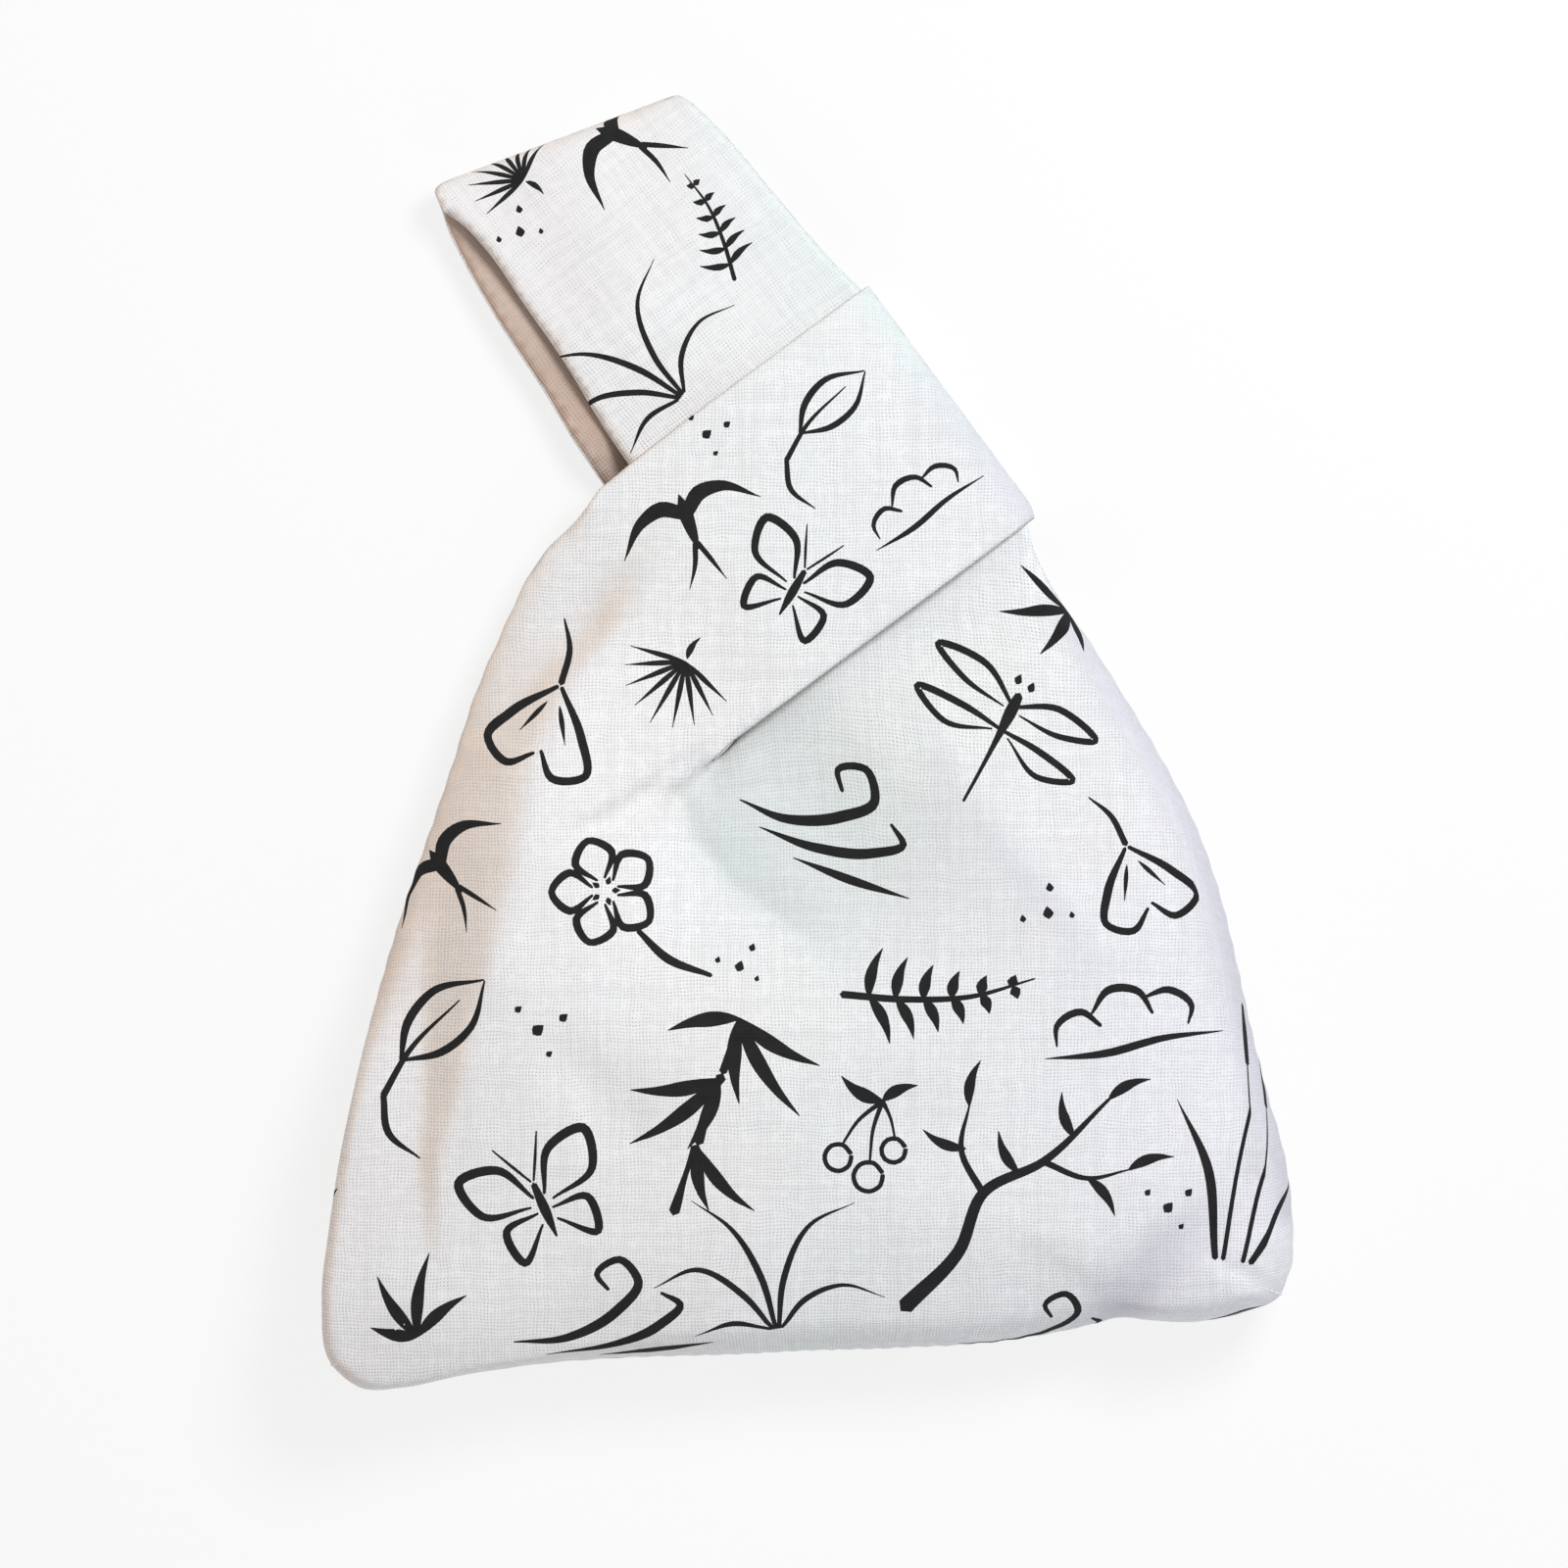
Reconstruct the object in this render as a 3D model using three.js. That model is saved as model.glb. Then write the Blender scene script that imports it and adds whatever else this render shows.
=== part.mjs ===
// Japanese knot bag lying on its back: two outer panels and two lining panels sewn into a soft boxed body, a short loop
// that rises from the left shoulder, and a long handle that rises from the right shoulder and passes through the loop.
// Millimetres, +Z up, +Y towards the handle. The origin is the middle of the footprint, on the surface it lies on.
import * as THREE from "three";

// Cloth
const OUTER_T = 0.8;
const LINING_T = 0.6;
const PLY_GAP = 0.3;
const LINING_IN = OUTER_T + PLY_GAP;
const WALL_T = LINING_IN + LINING_T;
const SLIDE_GAP = 0.3;

// Seam thread, which runs in the gap between the front and back panels
const THREAD_R = 0.35;
const THREAD_GAP = 0.3;
const SEAM_GAP = 2 * (THREAD_R + THREAD_GAP);

// Long handle and the strap that carries it through the loop
const STRAP_W = 66;
const HANDLE_TOP_W = 58;
const HANDLE_LEFT_L = 74;
const HANDLE_RIGHT_L = 58;
const HAND_GAP = 8;
const HANDLE_TILT = THREE.MathUtils.degToRad(36.5);
const FOLD_STEPS = 5;

// Short loop, which is wrapped once round the strap
const LOOP_W = 66;
const LOOP_ROOT = 68;
const LOOP_ROOT_DROP = 6;
const LOOP_FOLD_R = 2.5;
const CUT_GAP = 0.3;

// Body
const BAG_W = 220;
const BODY_L = 222.4;
const CROWN_Z = 38;
const SIDE_SEAM_Z = 16;
const KNOT_X = -14.4;
const KNOT_Y = 83.4;
const BASE_Y = KNOT_Y - BODY_L;
const CROWN_RISE = 88;
const FRONT_ROLL = 9;
const BACK_ROLL = 16;
const BACK_LIFT = 25;
const SEAM_START = 16;

// Swell and sag of the front: where the loop is held flat, the fall towards the base and the left flank, the slack neck
const HELD_V = -STRAP_W / 2 - 9;
const BASE_FALL = 10.5;
const BASE_FALL_W = 44;
const FLANK_FALL = 10;
const FLANK_START = 6;
const FLANK_END = 23;
const NECK_SAG = 0.75 * HAND_GAP;
const NECK_SAG_L = 62;

// Heights of the walls where the strap goes through the loop
const STRAP_BACK_Z = WALL_T + SLIDE_GAP;
const STRAP_TOP_Z = STRAP_BACK_Z + 2 * WALL_T + HAND_GAP;
const LOOP_TOP_Z = STRAP_TOP_Z + SLIDE_GAP + WALL_T;
const STRAP_MID_Z = (STRAP_BACK_Z + STRAP_TOP_Z) / 2;
const LOOP_MID_Z = LOOP_TOP_Z / 2;
const LOOP_FOLD_V = STRAP_W / 2 + SLIDE_GAP + WALL_T;

const outerCloth = new THREE.MeshStandardMaterial({ color: 0xf1f0f2, roughness: 0.9, metalness: 0 });
const liningCloth = new THREE.MeshStandardMaterial({ color: 0xe9e1d8, roughness: 0.9, metalness: 0 });
const thread = new THREE.MeshStandardMaterial({ color: 0xf7f5f0, roughness: 0.7, metalness: 0 });
const bag = new THREE.Group();

// A closed solid from points and triangles, turned so that its faces look out.
function solid(points, triangles) {
  let volume = 0;
  for (const [a, b, c] of triangles) {
    volume += points[a].dot(points[b].clone().cross(points[c]));
  }
  const geometry = new THREE.BufferGeometry().setFromPoints(points);
  geometry.setIndex(triangles.flatMap(([a, b, c]) => (volume < 0 ? [a, c, b] : [a, b, c])));
  geometry.computeVertexNormals();
  return geometry;
}

function addPiece(name, geometry, material) {
  const mesh = new THREE.Mesh(geometry, material);
  mesh.name = name;
  bag.add(mesh);
}

// The knot's own directions: u runs along the handle from the loop's upper edge, v runs across it to the right.
function knotPoint(u, v, z) {
  const x = KNOT_X - Math.sin(HANDLE_TILT) * u + Math.cos(HANDLE_TILT) * v;
  const y = KNOT_Y + Math.cos(HANDLE_TILT) * u + Math.sin(HANDLE_TILT) * v;
  return new THREE.Vector3(x, y, z);
}

// A piece of cloth between two faces, each given as rows of points along the piece.
function sheet(outerFace, innerFace) {
  const rows = outerFace.length;
  const columns = outerFace[0].length;
  const points = [...outerFace.flat(), ...innerFace.flat()];
  const inner = rows * columns;
  const triangles = [];
  const quad = (a, b, c, d) => triangles.push([a, b, c], [a, c, d]);
  for (let i = 0; i < rows - 1; i += 1) {
    for (let k = 0; k < columns - 1; k += 1) {
      const a = i * columns + k;
      quad(a, a + 1, a + columns + 1, a + columns);
      quad(inner + a, inner + a + columns, inner + a + columns + 1, inner + a + 1);
    }
    const left = i * columns;
    const right = left + columns - 1;
    quad(left, left + columns, inner + left + columns, inner + left);
    quad(right, inner + right, inner + right + columns, right + columns);
  }
  const last = (rows - 1) * columns;
  for (let k = 0; k < columns - 1; k += 1) {
    quad(k, inner + k, inner + k + 1, k + 1);
    quad(last + k, last + k + 1, inner + last + k + 1, inner + last + k);
  }
  return solid(points, triangles);
}

// A sewing thread along a line of points, six-sided.
function seamThread(line) {
  const sides = 6;
  const up = new THREE.Vector3(0.05, 0.03, 1);
  const points = [];
  line.forEach((point, i) => {
    const before = line[Math.max(i - 1, 0)];
    const after = line[Math.min(i + 1, line.length - 1)];
    const along = after.clone().sub(before).normalize();
    const across = along.clone().cross(up).normalize();
    const rise = across.clone().cross(along);
    for (let k = 0; k < sides; k += 1) {
      const angle = (2 * Math.PI * k) / sides;
      const offset = across.clone().multiplyScalar(Math.cos(angle));
      offset.addScaledVector(rise, Math.sin(angle));
      points.push(point.clone().addScaledVector(offset, THREAD_R));
    }
  });
  const triangles = [];
  const last = points.length - sides;
  for (let i = 0; i < last; i += sides) {
    for (let k = 0; k < sides; k += 1) {
      const next = (k + 1) % sides;
      triangles.push([i + k, i + next, i + sides + next]);
      triangles.push([i + k, i + sides + next, i + sides + k]);
    }
  }
  for (let k = 1; k < sides - 1; k += 1) {
    triangles.push([0, k + 1, k]);
    triangles.push([last, last + k, last + k + 1]);
  }
  return solid(points, triangles);
}

// Body outline seen from the front, anticlockwise from the left shoulder. Each stretch has its own number of steps.
const halfW = BAG_W / 2;
const leftShoulder = knotPoint(-LOOP_ROOT_DROP, -LOOP_ROOT - CUT_GAP, 0);
const rightShoulder = knotPoint(-LOOP_W - CUT_GAP, STRAP_W / 2, 0);
const neck = knotPoint(-LOOP_W - CUT_GAP, -LOOP_ROOT - CUT_GAP, 0);
const flat = (x, y) => new THREE.Vector3(x, y, 0);
const outline = (across, up) => flat(across * halfW, BASE_Y + up * BODY_L);
const leftHip = outline(-1, 0.05);
const leftToe = outline(-0.864, -0.0337);
const rightToe = outline(0.873, 0.038);
const rightHip = outline(1, 0.121);
const leftSide = new THREE.CubicBezierCurve3(leftShoulder, outline(-0.782, 0.571), outline(-1, 0.265), leftHip);
const leftCorner = new THREE.QuadraticBezierCurve3(leftHip, flat(leftHip.x, leftToe.y), leftToe);
const base = new THREE.CubicBezierCurve3(leftToe, outline(-0.55, 0.0045), outline(0.3, -0.0135), rightToe);
const rightCorner = new THREE.QuadraticBezierCurve3(rightToe, outline(1, 0.047), rightHip);
const rightSide = new THREE.CubicBezierCurve3(rightHip, outline(1, 0.288), outline(0.818, 0.535), rightShoulder);
const mouth = new THREE.LineCurve3(rightShoulder, neck);
const loopCut = new THREE.LineCurve3(neck, leftShoulder);
const stretches = [
  { curve: leftSide, steps: 13, sewn: true },
  { curve: leftCorner, steps: 4, sewn: true },
  { curve: base, steps: 12, sewn: true },
  { curve: rightCorner, steps: 4, sewn: true },
  { curve: rightSide, steps: 13, sewn: true },
  { curve: mouth, steps: 9, sewn: false },
  { curve: loopCut, steps: 4, sewn: false },
];
const bodyMiddle = outline(0.018, 0.274);
const smooth = (x, low, high) => THREE.MathUtils.smoothstep(x, low, high);
const mix = THREE.MathUtils.lerp;

const baseLine = base.getSpacedPoints(16);
const flankLine = [knotPoint(0, HELD_V, 0), ...leftSide.getSpacedPoints(16)];

// How far a point is from a line, and the share of the line's length at the nearest place.
function nearest(line, point) {
  let best = { away: Infinity, share: 0 };
  for (let i = 0; i < line.length - 1; i += 1) {
    const part = new THREE.Line3(line[i], line[i + 1]);
    const t = part.closestPointToPointParameter(point, true);
    const away = part.at(t, new THREE.Vector3()).distanceTo(point);
    if (away < best.away) best = { away, share: (i + t) / (line.length - 1) };
  }
  return best;
}

// The knot's own coordinates of a point of the plan.
function inKnot(point) {
  const x = point.x - KNOT_X;
  const y = point.y - KNOT_Y;
  const u = Math.cos(HANDLE_TILT) * y - Math.sin(HANDLE_TILT) * x;
  return { u, v: Math.cos(HANDLE_TILT) * x + Math.sin(HANDLE_TILT) * y };
}

// How far the cloth has swelled at a point of the plan: 0 where the loop is held flat, 1 in the middle of the body.
function swell(point) {
  const { u, v } = inKnot(point);
  return smooth(Math.hypot(Math.max(-LOOP_W - u, 0), Math.max(HELD_V - v, 0)), 0, CROWN_RISE);
}

// Height of the sewn seam, of the front and of the back over the surface, at a point of the plan.
function seamZ(point) {
  return mix(STRAP_MID_Z, SIDE_SEAM_Z, swell(point));
}

function frontZ(point) {
  const place = flat(point.x, point.y);
  const { u, v } = inKnot(place);
  const toBase = nearest(baseLine, place).away;
  const flank = nearest(flankLine, place);
  const held = smooth(Math.max(HELD_V - v, -LOOP_W - u), 0, 12);
  let z = mix(LOOP_TOP_Z, CROWN_Z, swell(place));
  z -= BASE_FALL * Math.max(1 - toBase / BASE_FALL_W, 0) ** 2;
  z -= FLANK_FALL * Math.sin(Math.PI * mix(0.12, 1, flank.share)) * (1 - smooth(flank.away, FLANK_START, FLANK_END)) * held;
  if (u < -LOOP_W - CUT_GAP / 2) {
    const tuck = smooth(v, -LOOP_ROOT, HELD_V) * (1 - smooth(-LOOP_W - u, 0, BACK_LIFT));
    const slack = smooth(v, -LOOP_ROOT, -LOOP_ROOT + 8) * (1 - smooth(v, -LOOP_ROOT + 6, -STRAP_W / 3));
    z -= (LOOP_TOP_Z - STRAP_TOP_Z) * tuck;
    z -= NECK_SAG * slack * (1 - smooth(-LOOP_W - u, 8, NECK_SAG_L));
  }
  return z;
}

function backZ(point) {
  return STRAP_BACK_Z * (1 - smooth(nearest([mouth.v1, mouth.v2], flat(point.x, point.y)).away, 0, BACK_LIFT));
}

// One spoke per outline point: where it ends, which way is in, and how far the panels are sewn together there.
const spokes = [];
stretches.forEach(({ curve, steps, sewn }, index) => {
  curve.getSpacedPoints(steps).slice(0, steps).forEach((end) => {
    const nearShoulder = Math.min(end.distanceTo(leftShoulder), end.distanceTo(rightShoulder));
    spokes.push({ end, index, sewn: sewn ? smooth(nearShoulder, 0, SEAM_START) : 0 });
  });
});
spokes.forEach((spoke, i) => {
  const before = spokes[(i + spokes.length - 1) % spokes.length].end;
  const after = spokes[(i + 1) % spokes.length].end;
  spoke.inward = flat(before.y - after.y, after.x - before.x).normalize();
});
const frontRings = [0, 0.01, 0.032, 0.07, 0.12, 0.17, 0.24, 0.34, 0.5, 0.74];
const backRings = [0, 0.01, 0.032, 0.07, 0.12, 0.2, 0.4, 0.7];

// A point of the front (1) or back (-1) cloth, a given depth under its outer face.
function bodyPoint(facing, depth, spoke, inFromRim) {
  const rim = spoke.end.clone().addScaledVector(spoke.inward, depth * spoke.sewn);
  const point = rim.clone().lerp(bodyMiddle, inFromRim);
  const roll = facing > 0 ? FRONT_ROLL : BACK_ROLL;
  const reach = Math.min(point.distanceTo(rim) / roll, 1);
  const rise = Math.sqrt(1 - (1 - reach) ** 2);
  const openZ = (place) => (facing > 0 ? frontZ(place) - depth : backZ(place) + depth);
  const rimZ = mix(openZ(rim), seamZ(spoke.end) + (facing * SEAM_GAP) / 2, spoke.sewn);
  point.z = mix(rimZ, openZ(point), rise);
  return point;
}

function bodyPanel(facing, outDepth, inDepth) {
  const points = [];
  const triangles = [];
  const rings = facing > 0 ? frontRings : backRings;
  const count = spokes.length;
  const layer = rings.length * count + 1;
  for (const depth of [outDepth, inDepth]) {
    for (const ring of rings) {
      points.push(...spokes.map((spoke) => bodyPoint(facing, depth, spoke, ring)));
    }
    points.push(bodyPoint(facing, depth, spokes[0], 1));
  }
  for (let k = 0; k < count; k += 1) {
    const next = (k + 1) % count;
    for (let ring = 0; ring < rings.length - 1; ring += 1) {
      const a = ring * count + k;
      const b = ring * count + next;
      triangles.push([a, b, b + count], [a, b + count, a + count]);
      triangles.push([layer + a, layer + b + count, layer + b]);
      triangles.push([layer + a, layer + a + count, layer + b + count]);
    }
    const inner = (rings.length - 1) * count;
    triangles.push([inner + k, inner + next, layer - 1]);
    triangles.push([layer + inner + k, 2 * layer - 1, layer + inner + next]);
    triangles.push([k, layer + k, layer + next], [k, layer + next, next]);
  }
  return solid(points, triangles);
}

addPiece("outer_front_panel", bodyPanel(1, 0, OUTER_T), outerCloth);
addPiece("outer_back_panel", bodyPanel(-1, 0, OUTER_T), outerCloth);
addPiece("lining_front_panel", bodyPanel(1, LINING_IN, WALL_T), liningCloth);
addPiece("lining_back_panel", bodyPanel(-1, LINING_IN, WALL_T), liningCloth);

// Side and base seams: the thread that joins the outer panels, halfway between their edges.
function edgeThread(sewnSpokes) {
  return seamThread(
    sewnSpokes.map(({ end, inward }) => {
      const point = end.clone().addScaledVector(inward, OUTER_T / 2);
      point.z = seamZ(end);
      return point;
    }),
  );
}
const fullySewn = spokes.filter((spoke) => spoke.sewn === 1);
addPiece("left_side_seam", edgeThread(fullySewn.filter(({ index }) => index === 0)), thread);
addPiece("base_seam", edgeThread(fullySewn.filter(({ index }) => index >= 1 && index <= 3)), thread);
addPiece("right_side_seam", edgeThread(fullySewn.filter(({ index }) => index === 4)), thread);

// Boxed corners: a short seam across each end of the base, from the front to the back over the side seam.
function cornerThread(index) {
  const corner = spokes.filter((spoke) => spoke.index === index)[2];
  const front = frontRings.slice(0, 5).map((ring) => bodyPoint(1, 0, corner, ring));
  const back = backRings.slice(0, 4).map((ring) => bodyPoint(-1, 0, corner, ring));
  const line = [...front.reverse(), ...back];
  const inward = bodyMiddle.clone().sub(corner.end).normalize();
  const clear = THREAD_R + THREAD_GAP;
  return seamThread(
    line.map((point, i) => {
      const along = line[Math.min(i + 1, line.length - 1)].clone().sub(line[Math.max(i - 1, 0)]);
      const out = new THREE.Vector3(along.z * inward.x, along.z * inward.y, -along.dot(inward));
      return point.clone().addScaledVector(out.normalize(), clear);
    }),
  );
}
addPiece("left_corner_seam", cornerThread(1), thread);
addPiece("right_corner_seam", cornerThread(3), thread);

// Short loop: each half runs from the left shoulder across the strap and round its right edge to the end seam. Left of
// the strap its front swells with the body.
function loopFace(facing, depth) {
  const turn = LOOP_FOLD_R - depth;
  const turnV = LOOP_FOLD_V - LOOP_FOLD_R;
  const places = [0, 0.35, 0.7, 1].map((share) => [mix(-LOOP_ROOT, HELD_V, share), 0]);
  places.push([-STRAP_W / 2, 0]);
  for (let i = 0; i <= FOLD_STEPS; i += 1) {
    const angle = (Math.PI / 2) * (i / FOLD_STEPS);
    places.push([turnV + turn * Math.sin(angle), turn - turn * Math.cos(angle)]);
  }
  places.push([turnV + turn, LOOP_MID_Z - SEAM_GAP / 2 - depth]);
  return places.map(([v, fall]) => {
    const drop = LOOP_ROOT_DROP * Math.max(0, (HELD_V - v) / (LOOP_ROOT + HELD_V));
    return [0, 0.3, 0.55, 0.7, 0.85, 1].map((share) => {
      const point = knotPoint(mix(-LOOP_W, -drop, share), v, LOOP_MID_Z + facing * (LOOP_MID_Z - depth - fall));
      if (facing > 0 && v < HELD_V) point.z = frontZ(point) - depth;
      return point;
    });
  });
}
for (const [side, facing] of [["front", 1], ["back", -1]]) {
  addPiece(`loop_outer_${side}`, sheet(loopFace(facing, 0), loopFace(facing, OUTER_T)), outerCloth);
  addPiece(`loop_lining_${side}`, sheet(loopFace(facing, LINING_IN), loopFace(facing, WALL_T)), liningCloth);
}
const loopSeamV = LOOP_FOLD_V - OUTER_T / 2;
const loopSeam = [knotPoint(-LOOP_W, loopSeamV, LOOP_MID_Z), knotPoint(0, loopSeamV, LOOP_MID_Z)];
addPiece("loop_end_seam", seamThread(loopSeam), thread);

// Long strap: the flat stretch inside the loop. It slides up through the loop when the handle is pulled.
function strapFace(facing, depth) {
  const z = facing > 0 ? STRAP_TOP_Z - depth : STRAP_BACK_Z + depth;
  return [-LOOP_W + CUT_GAP, 0].map((u) => [knotPoint(u, -STRAP_W / 2, z), knotPoint(u, STRAP_W / 2, z)]);
}

// Long handle: each half runs up from the loop and bends over at the top to the end seam.
function handleFace(facing, depth) {
  const turn = (STRAP_TOP_Z - STRAP_BACK_Z) / 2;
  const radius = turn - depth;
  const lastAngle = Math.asin(SEAM_GAP / 2 / radius);
  const at = (share, past, height) => {
    const z = STRAP_MID_Z + facing * height;
    const half = mix(STRAP_W, HANDLE_TOP_W, share) / 2;
    const left = mix(CUT_GAP, HANDLE_LEFT_L - turn, share) + past;
    const right = mix(CUT_GAP, HANDLE_RIGHT_L - turn, share) + past;
    return [knotPoint(left, -half, z), knotPoint(right, half, z)];
  };
  const face = [at(0, 0, radius), at(0.5, 0, radius)];
  for (let i = 0; i <= FOLD_STEPS; i += 1) {
    const angle = mix(Math.PI / 2, lastAngle, i / FOLD_STEPS);
    face.push(at(1, radius * Math.cos(angle), radius * Math.sin(angle)));
  }
  return face;
}
for (const [part, face] of [["strap", strapFace], ["handle", handleFace]]) {
  for (const [side, facing] of [["front", 1], ["back", -1]]) {
    addPiece(`${part}_outer_${side}`, sheet(face(facing, 0), face(facing, OUTER_T)), outerCloth);
    addPiece(`${part}_lining_${side}`, sheet(face(facing, LINING_IN), face(facing, WALL_T)), liningCloth);
  }
}
const handleSeam = [
  knotPoint(HANDLE_LEFT_L - OUTER_T / 2, -HANDLE_TOP_W / 2, STRAP_MID_Z),
  knotPoint(HANDLE_RIGHT_L - OUTER_T / 2, HANDLE_TOP_W / 2, STRAP_MID_Z),
];
addPiece("handle_end_seam", seamThread(handleSeam), thread);

// The middle of the footprint becomes the origin.
const extent = new THREE.Box3().setFromObject(bag);
const middle = extent.getCenter(new THREE.Vector3());
for (const mesh of bag.children) {
  mesh.geometry.translate(-middle.x, -middle.y, -extent.min.z);
}

export default bag;
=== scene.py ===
import math

import bpy
import numpy as np
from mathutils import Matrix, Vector
from mathutils.geometry import delaunay_2d_cdt


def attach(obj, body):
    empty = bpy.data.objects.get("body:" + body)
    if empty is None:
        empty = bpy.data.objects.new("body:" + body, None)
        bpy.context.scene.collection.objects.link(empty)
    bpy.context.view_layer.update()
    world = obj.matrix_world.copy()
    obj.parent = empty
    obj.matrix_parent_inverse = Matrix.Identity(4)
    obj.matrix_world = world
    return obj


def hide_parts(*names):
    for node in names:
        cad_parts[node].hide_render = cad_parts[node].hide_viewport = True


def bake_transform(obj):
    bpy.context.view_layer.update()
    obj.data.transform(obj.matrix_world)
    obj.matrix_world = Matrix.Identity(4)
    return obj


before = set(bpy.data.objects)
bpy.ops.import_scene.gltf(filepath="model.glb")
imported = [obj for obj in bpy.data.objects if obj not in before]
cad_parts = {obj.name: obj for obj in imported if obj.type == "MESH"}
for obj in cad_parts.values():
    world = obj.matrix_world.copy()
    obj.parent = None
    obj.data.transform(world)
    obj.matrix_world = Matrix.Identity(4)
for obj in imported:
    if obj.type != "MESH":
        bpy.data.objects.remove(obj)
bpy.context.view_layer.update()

# Table, lamps and camera. The bag lies on a white table under a soft lamp at its upper right, with a warm
# fill from the left and a cool one from the base. The camera looks straight down from two metres up.
SENSOR_MM = 36
CAMERA_M = 2.0
PICTURE_M = 0.3556
scene = bpy.context.scene
scene.view_settings.view_transform = "Standard"
bpy.ops.object.camera_add(location=(-0.0056, -0.0098, 0.02 + CAMERA_M), rotation=(0, 0, 0))
scene.camera = bpy.context.object
scene.camera.data.lens = SENSOR_MM * CAMERA_M / PICTURE_M
scene.camera.data.clip_end = 20


class Wire:
    """A socket in a node tree. Arithmetic on it adds Math nodes, and make() adds any other node."""

    def __init__(self, tree, socket=None):
        self.tree = tree
        self.socket = socket

    def make(self, kind, settings=(), sockets=(), out=0):
        node = self.tree.nodes.new(kind)
        for name, value in dict(settings).items():
            if name == "stops":
                marks = node.color_ramp.elements
                for i, (place, colour) in enumerate(value):
                    mark = marks[i] if i < len(marks) else marks.new(place)
                    mark.position = place
                    mark.color = (*colour, 1)
            else:
                setattr(node, name, value)
        for name, value in dict(sockets).items():
            if isinstance(value, Wire):
                self.tree.links.new(value.socket, node.inputs[name])
            else:
                node.inputs[name].default_value = value
        return Wire(self.tree, node.outputs[out]) if node.outputs else node

    def output(self, out):
        return Wire(self.tree, self.socket.node.outputs[out])

    def parts(self):
        x = self.make("ShaderNodeSeparateXYZ", (), {0: self})
        return x, x.output(1), x.output(2)

    def math(self, operation, *values):
        return self.make("ShaderNodeMath", {"operation": operation}, enumerate((self,) + values))

    def __add__(self, other):
        return self.math("ADD", other)

    def __mul__(self, other):
        return self.math("MULTIPLY", other)

    def __sub__(self, other):
        return self.math("SUBTRACT", other)

    def __rsub__(self, other):
        return self.make("ShaderNodeMath", {"operation": "SUBTRACT"}, {0: other, 1: self})

    __radd__ = __add__

    def ramp(self, low, high, start=0.0, end=1.0, curve="LINEAR"):
        """Turns values from low to high into values from start to end."""
        ends = {0: self, 1: low, 2: high, 3: start, 4: end}
        return self.make("ShaderNodeMapRange", {"interpolation_type": curve}, ends)

    def tint(self, first, second):
        return self.make("ShaderNodeMix", {"data_type": "RGBA"}, {0: self, 6: first, 7: second}, out=2)

    def stain(self, colour, share=1.0):
        """Multiplies this colour by another, as far as the share says."""
        kind = {"data_type": "RGBA", "blend_type": "MULTIPLY"}
        return self.make("ShaderNodeMix", kind, {0: share, 6: self, 7: colour}, out=2)


def new_finish(name):
    finish = bpy.data.materials.new(name)
    finish.use_nodes = True
    finish.node_tree.nodes.clear()
    return finish, Wire(finish.node_tree)


def soft_lamp(name, place, width, watts, colour):
    lamp = bpy.data.lights.new(name, "AREA")
    lamp.size = width
    lamp.energy = watts
    lamp.color = colour
    holder = bpy.data.objects.new(name, lamp)
    holder.location = place
    holder.rotation_euler = (Vector((0, -0.02, 0.02)) - Vector(place)).to_track_quat("-Z", "Y").to_euler()
    scene.collection.objects.link(holder)


def seen_as_background(wire):
    seen = eye = wire.make("ShaderNodeLightPath")
    for ray in ("Is Glossy Ray", "Is Transmission Ray"):
        seen = seen.math("MAXIMUM", eye.output(ray))
    return seen


soft_lamp("key_lamp", (0.37, 0.43, 0.82), 0.36, 7.3, (0.975, 0.985, 1.0))
soft_lamp("left_fill", (-1.2, 0.2, 0.16), 0.6, 2.6, (1.0, 0.66, 0.4))
soft_lamp("base_fill", (0.3, -1.2, 0.35), 0.8, 3.0, (0.95, 0.96, 1.0))
scene.world = bpy.data.worlds.new("studio")
scene.world.use_nodes = True
scene.world.node_tree.nodes.clear()
sky = Wire(scene.world.node_tree)
dim = sky.make("ShaderNodeBackground", (), {"Color": (0.97, 0.985, 1.0, 1), "Strength": 0.4})
bright = sky.make("ShaderNodeBackground", (), {"Color": (1, 1, 1, 1), "Strength": 1.0})
surface = sky.make("ShaderNodeMixShader", (), {0: seen_as_background(sky), 1: dim, 2: bright})
sky.make("ShaderNodeOutputWorld", (), {"Surface": surface})

bpy.ops.mesh.primitive_plane_add(size=6, location=(0, 0, -0.0003))
table = bpy.context.object
table.name = "table"
bpy.ops.object.transform_apply(location=True)
white_table, wire = new_finish("white_table")
matt = wire.make("ShaderNodeBsdfDiffuse", (), {"Color": (0.86, 0.86, 0.86, 1)})
glow = wire.make("ShaderNodeEmission", (), {"Color": (1, 1, 1, 1), "Strength": 1.0})
surface = wire.make("ShaderNodeMixShader", (), {0: seen_as_background(wire) * 0.8, 1: matt, 2: glow})
wire.make("ShaderNodeOutputMaterial", (), {"Surface": surface})
table.data.materials.append(white_table)

# Outer cloth: white plain-woven cotton-linen, about thirteen threads to the centimetre, printed in black
# with loose brush drawings of plants, birds, insects, waves and clouds. Weave and print follow the flat
# cloth, so they turn with every fold.
MM = 0.001
THREAD = 0.75
FLAT_MM = 500
OUTER_THICK = 0.7
BLACK_INK = (0.011, 0.011, 0.012, 1)
# Painted warm shade: the beige that left-facing sides of the bag take on, as under warm light from the left.
PAINTED_WARM_SHADE = (1, 0.93, 0.86, 1)
# Colours of the painted shade across the bag: warm beige at its left, green-grey in its middle, lavender at
# its right.
PAINTED_SHADE_CASTS = [
    (0.28, (0.88, 0.8, 0.73)),
    (0.37, (0.85, 0.9, 0.885)),
    (0.6, (0.85, 0.9, 0.885)),
    (0.8, (0.8, 0.79, 0.84)),
]


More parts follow.
